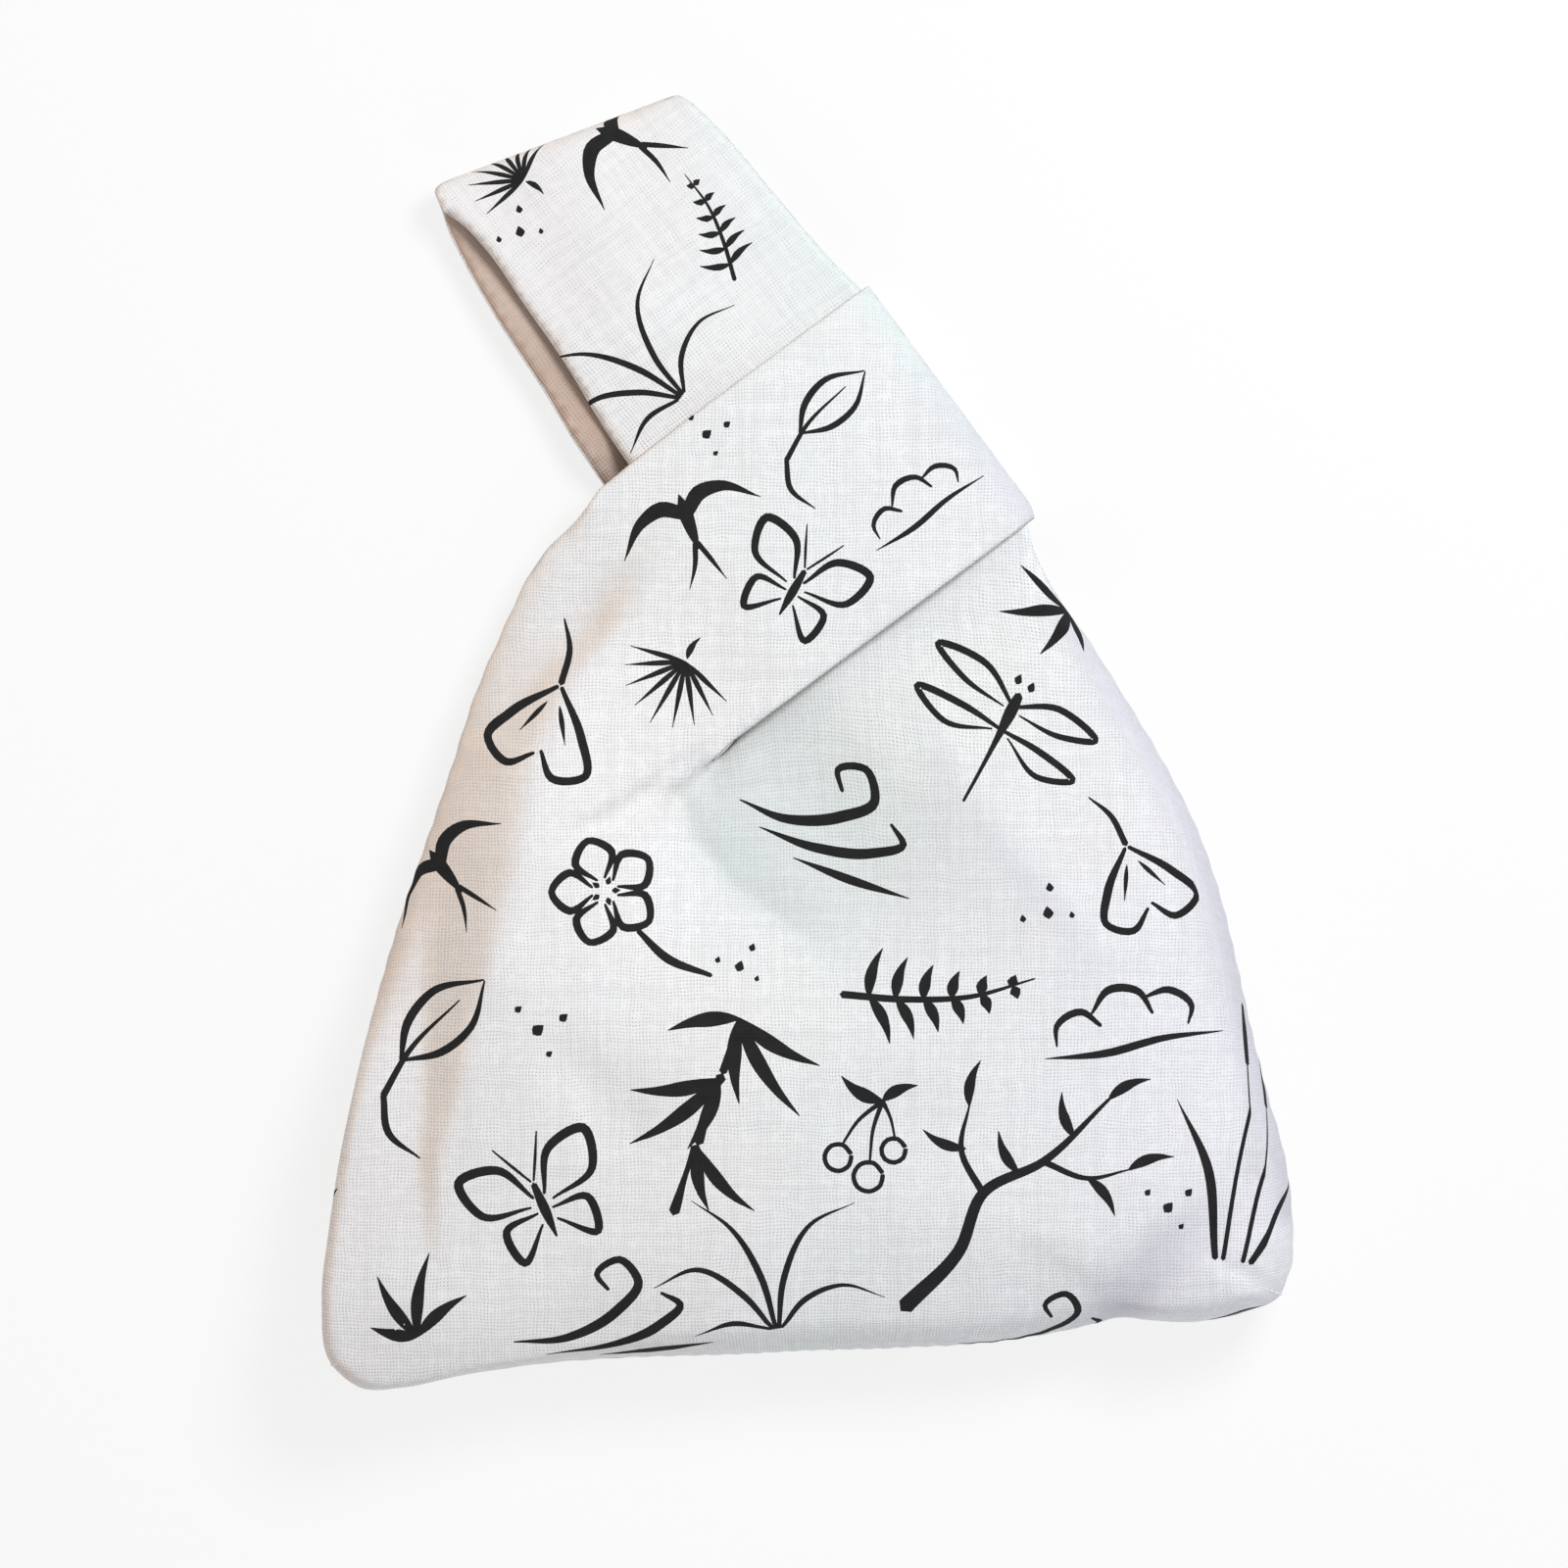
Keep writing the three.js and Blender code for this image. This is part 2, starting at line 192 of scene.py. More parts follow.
def woven_finish(name, pale, dark, tints, printed):
    """Uneven plain weave with gaps, with painted coloured light across the bag and painted shade in its
    folds.
    """
    finish, wire = new_finish(name)
    flat = wire.make("ShaderNodeUVMap", {"uv_map": "cloth"})
    threads = (FLAT_MM / THREAD, FLAT_MM / THREAD, 0)
    scaled = wire.make("ShaderNodeVectorMath", {"operation": "MULTIPLY"}, {0: flat, 1: threads})
    drift = wire.make("ShaderNodeTexNoise", (), {"Vector": flat, "Scale": 55.0, "Detail": 2.0}, out=1)
    moved = {0: drift, 1: (2.4, 2.4, 0), 2: scaled}
    grid = wire.make("ShaderNodeVectorMath", {"operation": "MULTIPLY_ADD"}, moved)
    slubs = []
    for stretch in ((0.5, 0.02, 0), (0.02, 0.5, 0)):
        along = wire.make("ShaderNodeVectorMath", {"operation": "MULTIPLY"}, {0: grid, 1: stretch})
        slubs.append(wire.make("ShaderNodeTexNoise", (), {"Vector": along, "Scale": 1.0, "Detail": 2.0}))
    wave_a, wave_b = ((side * math.pi).math("SINE") for side in grid.parts()[:2])
    over = wave_a * wave_b
    warp = wave_a.math("ABSOLUTE") * (over * 0.38 + 0.62) * (slubs[0] + 0.5)
    weft = wave_b.math("ABSOLUTE") * (0.62 - over * 0.38) * (slubs[1] + 0.5)
    high = warp.math("MAXIMUM", weft)
    uneven = {"Vector": grid, "Scale": 0.3, "Detail": 4.0, "Roughness": 0.7}
    speck = wire.make("ShaderNodeTexNoise", (), uneven).ramp(0.36, 0.66, 0.1, 2.0)
    hole = high.ramp(0.1, 0.5, 1.0, 0.0, "SMOOTHSTEP") * speck
    place = wire.make("ShaderNodeTexCoord", (), (), out=3)
    # Painted coloured light: the cloth turns pinkish at the bag's left, mint in its middle and lavender at
    # its right, in soft cloudy patches.
    cloud = wire.make("ShaderNodeTexNoise", (), {"Vector": place, "Scale": 14.0, "Detail": 3.0})
    right, forward, _ = place.parts()
    close = forward.ramp(0.075, 0.1, 1.0, 0.55)
    hue = wire.make("ShaderNodeValToRGB", {"stops": tints}, {0: right * 3.6 + cloud * 0.7 + 0.15})
    # Painted warm shade: cloth that leans to the left on the bag's left side turns beige, less so where it
    # stands upright.
    lean = wire.make("ShaderNodeTexCoord", (), (), out=1).parts()[0]
    warm = lean.ramp(-0.12, -0.5, curve="SMOOTHSTEP") * right.ramp(-0.015, -0.04, curve="SMOOTHSTEP")
    warm = warm * lean.ramp(-0.55, -0.85, 1.0, 0.4)
    # Painted shade: the 'shade' attribute darkens the cloth in folds, the neck's trough, along edges, at the
    # loop's end and on the straps.
    dim = wire.make("ShaderNodeAttribute", {"attribute_name": "shade"}, (), out=2)
    cast = wire.make("ShaderNodeValToRGB", {"stops": PAINTED_SHADE_CASTS}, {0: right * 5.0 + 0.5})
    shade = hue.stain(pale).stain(PAINTED_WARM_SHADE, warm).stain(cast, dim)
    gaps = hole * close * 1.1 + (slubs[0] + slubs[1]) * 0.5 - 0.42
    colour = gaps.math("MAXIMUM", 0.0).tint(shade, dark)
    if printed:
        ink = wire.make("ShaderNodeAttribute", {"attribute_name": "ink"}, (), out=2)
        worn = wire.make("ShaderNodeTexNoise", (), {"Vector": flat, "Scale": 160.0, "Detail": 3.0})
        ink = ink * (1.0 - hole * 0.012) * (0.985 + worn * 0.02).math("MINIMUM", 1.0)
        colour = ink.tint(colour, BLACK_INK)
    threads_up = {"Strength": 0.5, "Distance": 0.00022, "Height": high * close}
    normal = wire.make("ShaderNodeBump", (), threads_up)
    sockets = {"Base Color": colour, "Roughness": 0.92, "Normal": normal, "Specular IOR Level": 0.18}
    surface = wire.make("ShaderNodeBsdfPrincipled", (), sockets)
    wire.make("ShaderNodeOutputMaterial", (), {"Surface": surface})
    return finish


outer_finish = woven_finish(
    "printed_cotton",
    (0.9, 0.9, 0.905, 1),
    (0.52, 0.52, 0.53, 1),
    # Tints of the painted coloured light, from the bag's left to its right.
    [
        (0.0, (0.99, 0.95, 0.935)),
        (0.38, (0.985, 0.975, 0.97)),
        (0.55, (0.965, 0.99, 0.98)),
        (0.9, (0.965, 0.96, 0.995)),
    ],
    True,
)


def spline(points, step):
    """A smooth line through points, with a width or height as a third number where it is given."""
    p = np.asarray(points, float)
    h = np.maximum(np.linalg.norm(np.diff(p[:, :2], axis=0), axis=1), 1e-6)
    slope = np.diff(p, axis=0) / h[:, None]
    lean = np.concatenate([slope[:1], np.empty((len(p) - 2, p.shape[1])), slope[-1:]])
    lean[1:-1] = (slope[1:] * h[:-1, None] + slope[:-1] * h[1:, None]) / (h[1:] + h[:-1])[:, None]
    rows = []
    for i, length in enumerate(h):
        t = np.linspace(0, 1, max(int(math.ceil(length / step)), 1), endpoint=False)[:, None]
        start = (2 * t**3 - 3 * t**2 + 1) * p[i] + (t**3 - 2 * t**2 + t) * length * lean[i]
        rows.append(start + (3 * t**2 - 2 * t**3) * p[i + 1] + (t**3 - t**2) * length * lean[i + 1])
    return np.concatenate(rows + [p[-1:]])


def leaf(x, y, way, length, width, bend=0.1):
    """One pressed brush mark: thin where the brush lands, wide a third along, drawn out to a point."""
    a = math.radians(way)
    rows = []
    for t, full in ((0, 0.2), (0.14, 0.66), (0.38, 1), (0.7, 0.62), (1, 0.07)):
        out = t * length
        side = bend * length * 4 * t * (1 - t)
        at_x = x + out * math.cos(a) - side * math.sin(a)
        at_y = y + out * math.sin(a) + side * math.cos(a)
        rows.append((at_x, at_y, full * width / 2))
    return rows


BAMBOO = [
    [(0, -24, 1.3), (0.6, -10, 1.0), (0.9, -8.2, 1.4)],
    [(1, -6.6, 1.2), (1.6, 8, 0.9), (1.9, 9.6, 1.3)],
    [(2, 11, 1.0), (2.4, 24, 0.5)],
    *[leaf(1.5, 9, way, length, 3.6, 0.06) for way, length in ((203, 21), (232, 26), (262, 18))],
    *[leaf(2.2, 24, way, length, 3.6, -0.06) for way, length in ((-14, 22), (-42, 27), (-74, 20), (205, 17))],
    *[leaf(1.2, -8, way, length, 3.2, -0.08) for way, length in ((-32, 20), (-64, 15))],
]
GRASS = [
    [(0, 0, 0.8), (-8, 14, 1.2), (-24, 27, 0.9), (-40, 23, 0.12)],
    [(1, 0, 0.8), (-1, 20, 1.3), (-9, 40, 0.8), (-21, 52, 0.1)],
    [(2, 0, 0.8), (7, 18, 1.2), (20, 36, 0.8), (37, 41, 0.1)],
    [(3, 0, 0.7), (13, 9, 1.1), (28, 12, 0.7), (42, 5, 0.1)],
    [(-1, 0, 0.7), (-14, 5, 1.0), (-29, 2, 0.1)],
]
PETAL = ((3, -0.3, 0.3), (9, -0.5, 0.9), (12, 0, 0.8), (9, 0.5, 0.9), (3, 0.3, 0.3))
BLOSSOM = [
    *[
        [(r * math.cos(a + b), r * math.sin(a + b), w) for r, b, w in PETAL]
        for a in (0.3, 1.56, 2.81, 4.07, 5.33)
    ],
    *[
        leaf(1.6 * math.cos(a), 1.6 * math.sin(a), math.degrees(a), 1.8, 1.4, 0)
        for a in (0.9, 2.2, 3.4, 4.7, 6.0)
    ],
    [(4, -11, 0.6), (8, -19, 1.0), (16, -26, 0.5)],
]
TIPS = ((-10, 14, 150), (-8, 24, 70), (2, 7, 110), (16, 14, 100), (25, 22, 20), (18, 4, -60), (28, 5, 10))
TWIG = [
    [(-28, -22, 2.0), (-14, -10, 1.5), (-7, 3, 1.3), (8, 9, 1.0), (25, 22, 0.4)],
    [(-7, 3, 0.9), (-11, 14, 0.7), (-8, 24, 0.25)],
    [(8, 9, 0.8), (18, 4, 0.6), (28, 5, 0.2)],
    *[leaf(x, y, way, 11, 2.6, 0.1) for x, y, way in TIPS],
]
SWALLOW = [
    [(0, 12, 0.2), (0, 7, 2.3), (0, -1, 2.2), (0, -9, 0.6)],
    [(-1, 5, 2.4), (-8, 9, 2.9), (-16, 7, 2.1), (-27, -4, 0.1)],
    [(1, 5, 2.4), (7, 10, 2.9), (15, 10, 2.1), (28, 1, 0.1)],
    [(-0.5, -7, 1.0), (-3, -14, 0.9), (-8, -22, 0.1)],
    [(0.5, -7, 1.0), (3, -14, 0.9), (6, -23, 0.1)],
]
DRAGONFLY = [
    [(0, -19, 0.35), (0, -2, 0.7), (0, 6, 1.3), (0, 9, 0.9)],
    *[
        [
            (0, y, 0.4),
            (s * 9, y + h + 3.2, 0.8),
            (s * 20, y + h + 1, 0.8),
            (s * 12, y + h - 2.4, 0.7),
            (s * 2, y - 1, 0.2),
        ]
        for s in (-1, 1)
        for y, h in ((6, 2), (0, -3))
    ],
    leaf(-1.6, 11, 90, 2.4, 1.8, 0),
    leaf(1.6, 11, 90, 2.4, 1.8, 0),
]
REEDS = [
    [(0, -30, 0.6), (1, 0, 0.5), (3, 20, 0.4)],
    [(3, 20, 1.2), (3.6, 28, 1.6), (4.3, 36, 1.0)],
    [(5, -30, 0.6), (8, -4, 0.5), (13, 10, 0.35)],
    [(13, 10, 1.2), (15, 17, 1.5), (16.6, 23, 0.9)],
    [(-2, -30, 0.8), (-7, -8, 1.2), (-17, 8, 0.1)],
    [(7, -30, 0.8), (15, -16, 1.1), (27, -9, 0.1)],
]
WAVES = [
    [(-24, -4, 0.2), (-10, -3, 1.1), (3, 4, 1.4), (9, 12, 1.2), (4, 18, 1.0), (-2, 14, 0.8), (1, 10, 0.5)],
    [(-16, -8, 0.15), (0, -6, 1.2), (14, 0, 1.3), (20, 6, 1.0), (15, 9, 0.4)],
    [(-4, -11, 0.15), (12, -9, 1.2), (28, -6, 0.15)],
]
CLOUD = [
    [(-22, 0, 0.3), (-21, 6, 0.9), (-13, 9, 1.1), (-8, 4, 0.6)],
    [(-10, 8, 0.4), (-4, 14, 1.2), (5, 12, 1.1), (8, 5, 0.5)],
    [(6, 10, 0.4), (14, 11, 1.1), (20, 5, 0.9), (18, 0, 0.3)],
    [(-26, -3, 0.15), (-8, -4.5, 1.2), (10, -3, 1.0), (28, -4, 0.15)],
]
FERN = [
    [(-20, -8, 0.9), (-6, -3, 0.8), (8, 4, 0.6), (20, 14, 0.2)],
    *[
        leaf(x, y, way, 12 - 0.3 * (x + 14), 2.8, 0.08)
        for x, y in ((-14, -6), (-8, -3.8), (-2, -1.2), (4, 1.8), (10, 5.3), (16, 10))
        for way in (98, -42)
    ],
]
GINKGO = [
    [(0, 0, 0.5), (-8, 9, 1.0), (-12, 17, 0.9), (-5, 20, 0.9), (-0.6, 15, 0.4)],
    [(1, 0, 0.5), (9, 9, 1.1), (12, 16, 0.9), (6, 20, 0.9), (0.8, 16, 0.4)],
    [(0.5, -1, 0.8), (1.5, -9, 0.7), (5, -15, 0.2)],
    leaf(-1, 4, 118, 9, 1.2, 0),
    leaf(2, 4, 66, 9, 1.2, 0),
]
BUTTERFLY = [
    [(-1.5, 2, 0.4), (-7, 12, 1.1), (-17, 13, 1.2), (-15, 3, 1.0), (-3, 0, 0.3)],
    [(1.5, 2, 0.4), (7, 12, 1.1), (17, 13, 1.2), (15, 3, 1.0), (3, 0, 0.3)],
    [(-2, -2, 0.3), (-11, -3, 1.0), (-10, -12, 1.0), (-2, -5, 0.3)],
    [(2, -2, 0.3), (11, -3, 1.0), (10, -12, 1.0), (2, -5, 0.3)],
    [(0, 5, 0.8), (0, -2, 1.3), (0, -9, 0.3)],
    [(-0.4, 6, 0.3), (-3, 11, 0.4), (-6, 17, 0.2)],
    [(0.4, 6, 0.3), (3, 11, 0.4), (6, 17, 0.2)],
]
LEAVES = [
    [(0, 0, 0.5), (7, 6, 1.1), (17, 8, 1.0), (29, 2, 0.25)],
    [(0.5, -0.6, 0.4), (9, -5, 1.0), (19, -5, 0.9), (29, 1.6, 0.25)],
    [(-9, -4, 0.9), (3, 0.4, 0.7), (21, 2, 0.2)],
    [(-9, -4, 0.8), (-14, -12, 0.9), (-12, -22, 0.2)],
]
PINE = [
    *[leaf(0, 0, way, 20 - abs(way - 90) * 0.05, 1.6, 0) for way in range(14, 170, 19)],
    leaf(0, -1, 268, 7, 2.0),
]
SPRAY = [leaf(0, 0, way, length, 3.2, 0.06) for way, length in ((20, 16), (62, 21), (104, 18), (150, 12))]
BERRIES = [
    *[
        [(x + r * math.cos(a), y + r * math.sin(a), 0.75) for a in (0.4, 1.3, 2.2, 3.1, 4.0, 4.9, 5.8, 6.5)]
        for x, y, r in ((-7, -6, 4.2), (3, -11, 4.6), (10, -2, 3.8))
    ],
    [(-6, -1.6, 0.4), (-2, 6, 0.6), (5, 13, 0.8)],
    [(3, -6, 0.4), (3, 4, 0.6), (5, 13, 0.8)],
    [(10, 2, 0.4), (8, 8, 0.5), (5, 13, 0.8)],
    leaf(5, 13, 155, 15, 4.4),
    leaf(5, 13, 30, 12, 3.8),
]
DROPS = [leaf(x, y, 40, d, d * 0.95, 0) for x, y, d in ((0, 0, 3.0), (6, 3, 2.2), (-4, 5, 1.8), (3, -5, 1.6))]


def brush_marks(layout):
    """Outlines of all brush marks of a layout of drawings: what, x, y, turn in degrees, size."""
    rings = []
    for drawing, x, y, turn, size in layout:
        c, s = math.cos(math.radians(turn)), math.sin(math.radians(turn))
        for stroke in drawing:
            line = spline(np.asarray(stroke) * size, 1.3)
            lean = np.gradient(line[:, :2], axis=0)
            lean /= np.linalg.norm(lean, axis=1)[:, None]
            half = np.maximum(line[:, 2:], 0.1)
            side = half * np.stack([-lean[:, 1], lean[:, 0]], axis=1)
            tip = line[-1:, :2] + 0.8 * half[-1] * lean[-1:]
            heel = line[:1, :2] - 0.8 * half[0] * lean[:1]
            ring = np.concatenate([heel, line[:, :2] - side, tip, (line[:, :2] + side)[::-1]])
            rings.append(ring @ np.array([[c, s], [-s, c]]) + (x, y))
    return rings


def gap_to(points, line):
    best = np.full(len(points), 1e9)
    for start, end in zip(line[:-1], line[1:]):
        span = end - start
        t = np.clip((points - start) @ span / max(span @ span, 1e-12), 0, 1)
        best = np.minimum(best, np.linalg.norm(points - start - t[:, None] * span, axis=1))
    return best


def inside(points, ring):
    x, y = points.T
    hits = np.zeros(len(points), bool)
    for (x0, y0), (x1, y1) in zip(ring, np.roll(ring, -1, axis=0)):
        if y0 != y1:
            hits ^= ((y0 > y) != (y1 > y)) & (x < (x1 - x0) * (y - y0) / (y1 - y0) + x0)
    return hits


def cut_sheet(outline, step, marks=(), hem=None):
    """Flat cloth inside an outline, with a finer hem along the free edge and each brush mark cut in."""
    low, high = outline.min(0), outline.max(0)
    grid = []
    for i, y in enumerate(np.arange(low[1], high[1], step * 0.866)):
        x = np.arange(low[0] + (i % 2) * step / 2, high[0], step)
        grid.append(np.stack([x, np.full(len(x), y)], axis=1))
    grid = np.concatenate(grid)
    grid = grid[inside(grid, outline)]
    ring = np.concatenate([outline, outline[:1]])
    grid = grid[gap_to(grid, ring) > 0.6 * step]
    rows = []
    if hem is not None:
        grid = grid[gap_to(grid, hem) > 1.9]
        lean = np.gradient(hem, axis=0)
        inward = np.stack([-lean[:, 1], lean[:, 0]], axis=1)
        inward /= np.maximum(np.linalg.norm(inward, axis=1), 1e-9)[:, None]
        for depth in (0.45, 1.1):
            row = hem + depth * inward
            row = row[inside(row, outline)]
            rows.append(row[gap_to(row, ring) > 0.9 * depth])
    for mark in marks:
        near = np.flatnonzero(np.all((grid > mark.min(0) - step) & (grid < mark.max(0) + step), axis=1))
        close = near[gap_to(grid[near], np.concatenate([mark, mark[:1]])) < 0.45 * step]
        grid = np.delete(grid, close, axis=0)
    corners = np.concatenate([outline, *marks, *rows, grid])
    edges = []
    count = len(outline)
    for mark in marks:
        edges += [(count + i, count + (i + 1) % len(mark)) for i in range(len(mark))]
        count += len(mark)
    made = delaunay_2d_cdt([Vector(c) for c in corners], edges, [list(range(len(outline)))], 1, 1e-4)
    flat = np.array([tuple(c) for c in made[0]])
    faces = np.array(made[2])
    faces = faces[inside(flat[faces].mean(axis=1), outline)]
    used, faces = np.unique(faces, return_inverse=True)
    flat, faces = flat[used], faces.reshape(-1, 3)
    middles = flat[faces].mean(axis=1)
    inked = np.zeros(len(faces))
    for mark in marks:
        near = np.flatnonzero(np.all((middles > mark.min(0)) & (middles < mark.max(0)), axis=1))
        inked[near] = np.maximum(inked[near], inside(middles[near], mark))
    return flat, faces, inked


def sew_cloth(name, cut, place, thick, finish, turned=False, shade=None):
    """A cloth object from flat cloth laid in place, with its thickness on the inner side."""
    flat, faces, inked = cut
    mesh = bpy.data.meshes.new(name)
    mesh.from_pydata((place * MM).tolist(), [], (faces[:, ::-1] if turned else faces).tolist())
    corners = np.empty(len(mesh.loops), np.int32)
    mesh.loops.foreach_get("vertex_index", corners)
    mesh.uv_layers.new(name="cloth").data.foreach_set("uv", (flat[corners] / FLAT_MM + 0.5).ravel())
    mesh.attributes.new("ink", "FLOAT", "FACE").data.foreach_set("value", inked)
    # The 'shade' attribute carries painted shade into the cloth's colour.
    if shade is not None:
        mesh.attributes.new("shade", "FLOAT", "POINT").data.foreach_set("value", shade)
    mesh.shade_smooth()
    mesh.materials.append(finish)
    cloth = bpy.data.objects.new(name, mesh)
    scene.collection.objects.link(cloth)
    bpy.ops.object.select_all(action="DESELECT")
    cloth.select_set(True)
    bpy.context.view_layer.objects.active = cloth
    wall = cloth.modifiers.new("wall", "SOLIDIFY")
    wall.thickness = thick * MM
    wall.offset = -1
    bpy.ops.object.modifier_apply(modifier=wall.name)
    return cloth


# Front of the bag: one piece cut like a vest. The body is rounded over to the side and base seams, and its
# left shoulder runs up into the short loop, which crosses the strap and folds round its right edge.
KNOT = np.array([-14.4, 83.0])
TILT = math.radians(36.5)
UP = np.array([-math.sin(TILT), math.cos(TILT)])
ACROSS = np.array([math.cos(TILT), math.sin(TILT)])
LOOP_W = 66.0
LOOP_ROOT = 60.0
LOOP_TOP = 15.4
LOOP_MID = 7.7
FOLD_V = 29.4
FOLD_R = 5.6
FOLD_END = FOLD_V + FOLD_R * math.pi / 2 + 2.0
CROWN = 37.6
SEAM_Z = 16.0
RISE = 88.0
DOME_W = 44.0
MOUTH_TUCK = 5.0
MOUTH_SINK = 3.2
MOUTH_LIFT = 2.4
NECK_DEEP = 8.6
HEM_EDGE = 1.7
HEM_THICK = 0.3
MIDDLE = np.array([2.0, -78.0])


def smooth(x, low, high):
    t = np.clip((x - low) / (high - low), 0, 1)
    return t * t * (3 - 2 * t)


def knot_uv(p):
    return (p - KNOT) @ UP, (p - KNOT) @ ACROSS


def knot_xy(u, v):
    return KNOT + np.multiply.outer(u, UP) + np.multiply.outer(v, ACROSS)


# The seamed edge of the body from the left shoulder round the base to the right shoulder, seen from above.
HELD_V = -42.0
EDGE_STEP = 1.3
SHOULDER_L = knot_xy(-0.9, HELD_V)
SHOULDER_R = knot_xy(-LOOP_W - 0.9, 33.0)
NECK = knot_xy(-LOOP_W, -LOOP_ROOT)
LEFT_EDGE = [
    SHOULDER_L, knot_xy(-3.4, -50.0), knot_xy(-4.6, -60.0), knot_xy(-6.8, -67.0), (-70.4, 25), (-76.6, 10),
    (-81.4, -5), (-86.4, -20), (-91.6, -35), (-95.8, -50), (-99.6, -65), (-103, -80), (-106, -95),
    (-108.2, -110), (-109.8, -126), (-107.6, -141),
]
BASE_EDGE = [
    (-101, -146.4), (-92, -146.4), (-80, -144), (-60, -141.4), (-40, -140.2), (-20, -139.7), (0, -138.8),
    (20, -138.2), (40, -137), (52, -135.4), (58, -134.3), (64, -132.9), (69.5, -131.4), (73, -131.1),
    (77, -131.6), (83, -132.1), (89, -131.9), (95, -131), (101, -129.2), (106, -127.2),
]
RIGHT_EDGE = [
    (109.6, -120), (110, -108), (108.2, -94), (104.3, -80), (100.6, -65), (97.3, -50), (93.6, -35),
    (88.4, -20), (81, -5), (72.2, 10), (63, 25), (58.2, 32), (54.6, 38.5), SHOULDER_R,
]
rim = spline(LEFT_EDGE + BASE_EDGE + RIGHT_EDGE, EDGE_STEP)
rim_turn = np.unwrap(np.arctan2(rim[:, 1] - MIDDLE[1], rim[:, 0] - MIDDLE[0]))
rim_degrees = np.degrees(rim_turn - rim_turn[0])
rim_reach = np.linalg.norm(rim - MIDDLE, axis=1)
mouth = np.array([SHOULDER_R, NECK])


def from_knot(p):
    """How far a point is from the part of the loop that the strap holds flat."""
    u, v = knot_uv(p)
    return np.hypot(np.maximum(-LOOP_W - u, 0), np.maximum(HELD_V - v, 0))


def under_loop(p):
    """How far the mouth's edge is drawn in under the loop: 1 at the mouth, 0 at the neck and away from it."""
    u, v = knot_uv(p)
    return smooth(v, -LOOP_ROOT, -38) * (1 - smooth(gap_to(p, mouth), 0, 42)) * (u < -LOOP_W)


def crown_z(p):
    return LOOP_TOP + (CROWN - LOOP_TOP) * smooth(from_knot(p), 0, RISE) - MOUTH_SINK * under_loop(p)


def seam_z(p):
    return LOOP_MID + (SEAM_Z - LOOP_MID) * smooth(from_knot(p), 0, RISE)


LEFT_STEP = [
    (-30, 57, 0), (-39, 43, 2), (-46, 34, 4), (-52, 24, 8), (-60, 9, 11.5), (-64.5, -5, 13.5),
    (-68, -20, 14.5), (-71, -35, 15), (-75.5, -50, 13), (-78.5, -65, 8.5), (-81, -80, 5.6),
    (-84, -95, 3.2), (-83.5, -110, 1.4), (-82, -124, 0),
]


def beside(p, path):
    """How far points lie left of a path, and the path's third number and share of length nearest to them."""
    line = spline(path, 4)
    best = np.full(len(p), 1e9)
    side, third, share = np.zeros((3, len(p)))
    for i in range(len(line) - 1):
        span = line[i + 1, :2] - line[i, :2]
        off = p - line[i, :2]
        s = np.clip(off @ span / (span @ span), 0, 1)
        far = np.linalg.norm(off - s[:, None] * span, axis=1)
        closer = far < best
        best = np.where(closer, far, best)
        side = np.where(closer, np.where(span[0] * off[:, 1] < span[1] * off[:, 0], -far, far), side)
        third = np.where(closer, line[i, -1] + s * (line[i + 1, -1] - line[i, -1]), third)
        share = np.where(closer, (i + s) / (len(line) - 1), share)
    return side, third, share


def fold(p, path, width, high):
    """A fold along a path: its height falls off over its width and fades at both ends."""
    side, _, share = beside(p, path)
    fade = np.sqrt(np.clip(np.sin(math.pi * (0.06 + 0.88 * share)), 0, 1))
    return high * np.exp(-((side / width) ** 2)) * fade


def left_drop(p):
    """The left flank lies lower than the front: it falls away along a line from the shoulder to the base."""
    side, drop, share = beside(p, LEFT_STEP)
    wide = np.interp(share, [0.55, 0.68, 0.76, 0.84, 1], [17, 11, 8, 5, 4])
    return drop * (1 - smooth(side / wide, -1, 0.41)) * smooth(from_knot(p), 0, 15)


def neck_place(p):
    """How far a point lies below the mouth's edge, and how far right of the crease down from the neck."""
    u, v = knot_uv(p)
    below = -LOOP_W - u
    return below, v - np.interp(below, [0, 12, 26, 42, 63], [-69, -72, -71, -65.5, -59])


# Painted shade along folds (path, width, strength) and along stretches of the rim (from, to degrees,
# strength, width).
PAINTED_FOLD_SHADE = (
    ([(-34.5, 48), (-44.7, 32), (-57.3, 18), (-67, 6), (-72, -6)], 5, 0.62),
    ([(64, -134), (70, -127.5), (78, -120), (88, -111)], 6, 1.0),
    ([(21, 11), (30.5, -7), (45.5, -27), (60, -44), (65, -50)], 4, 0.6),
)
PAINTED_EDGE_SHADE = ((16, 56, 0.7, 10), (236, 312, 1.5, 5.2))


def front_painted_shade(p, plan):
    """Painted shade on the cloth, 0 to 1: in the neck's trough, the deep folds, the loop's end and the sides.
    """
    below, past = neck_place(p)
    floor = smooth(past, -3 - 0.12 * below, 4) * (1 - smooth(past, 34, 54)) * (1 - smooth(below, 25, 85))
    line = np.exp(-(((past - 4) / 6) ** 2)) * (1 - smooth(below, 20, 60))
    dim = smooth(below, -1, 3) * (0.75 * floor + 0.35 * line)
    for path, width, deep in PAINTED_FOLD_SHADE:
        dim = dim + fold(plan, path, width, deep)
    u, v = knot_uv(p)
    dim = dim + smooth(v, 28, 33.5) * (u > -LOOP_W)
    for first, last, deep, width in PAINTED_EDGE_SHADE:
        edge = rim[(rim_degrees > first) & (rim_degrees < last)]
        dim = dim + deep * np.exp(-((gap_to(plan, edge) / width) ** 2))
    return np.clip(dim, 0, 1)


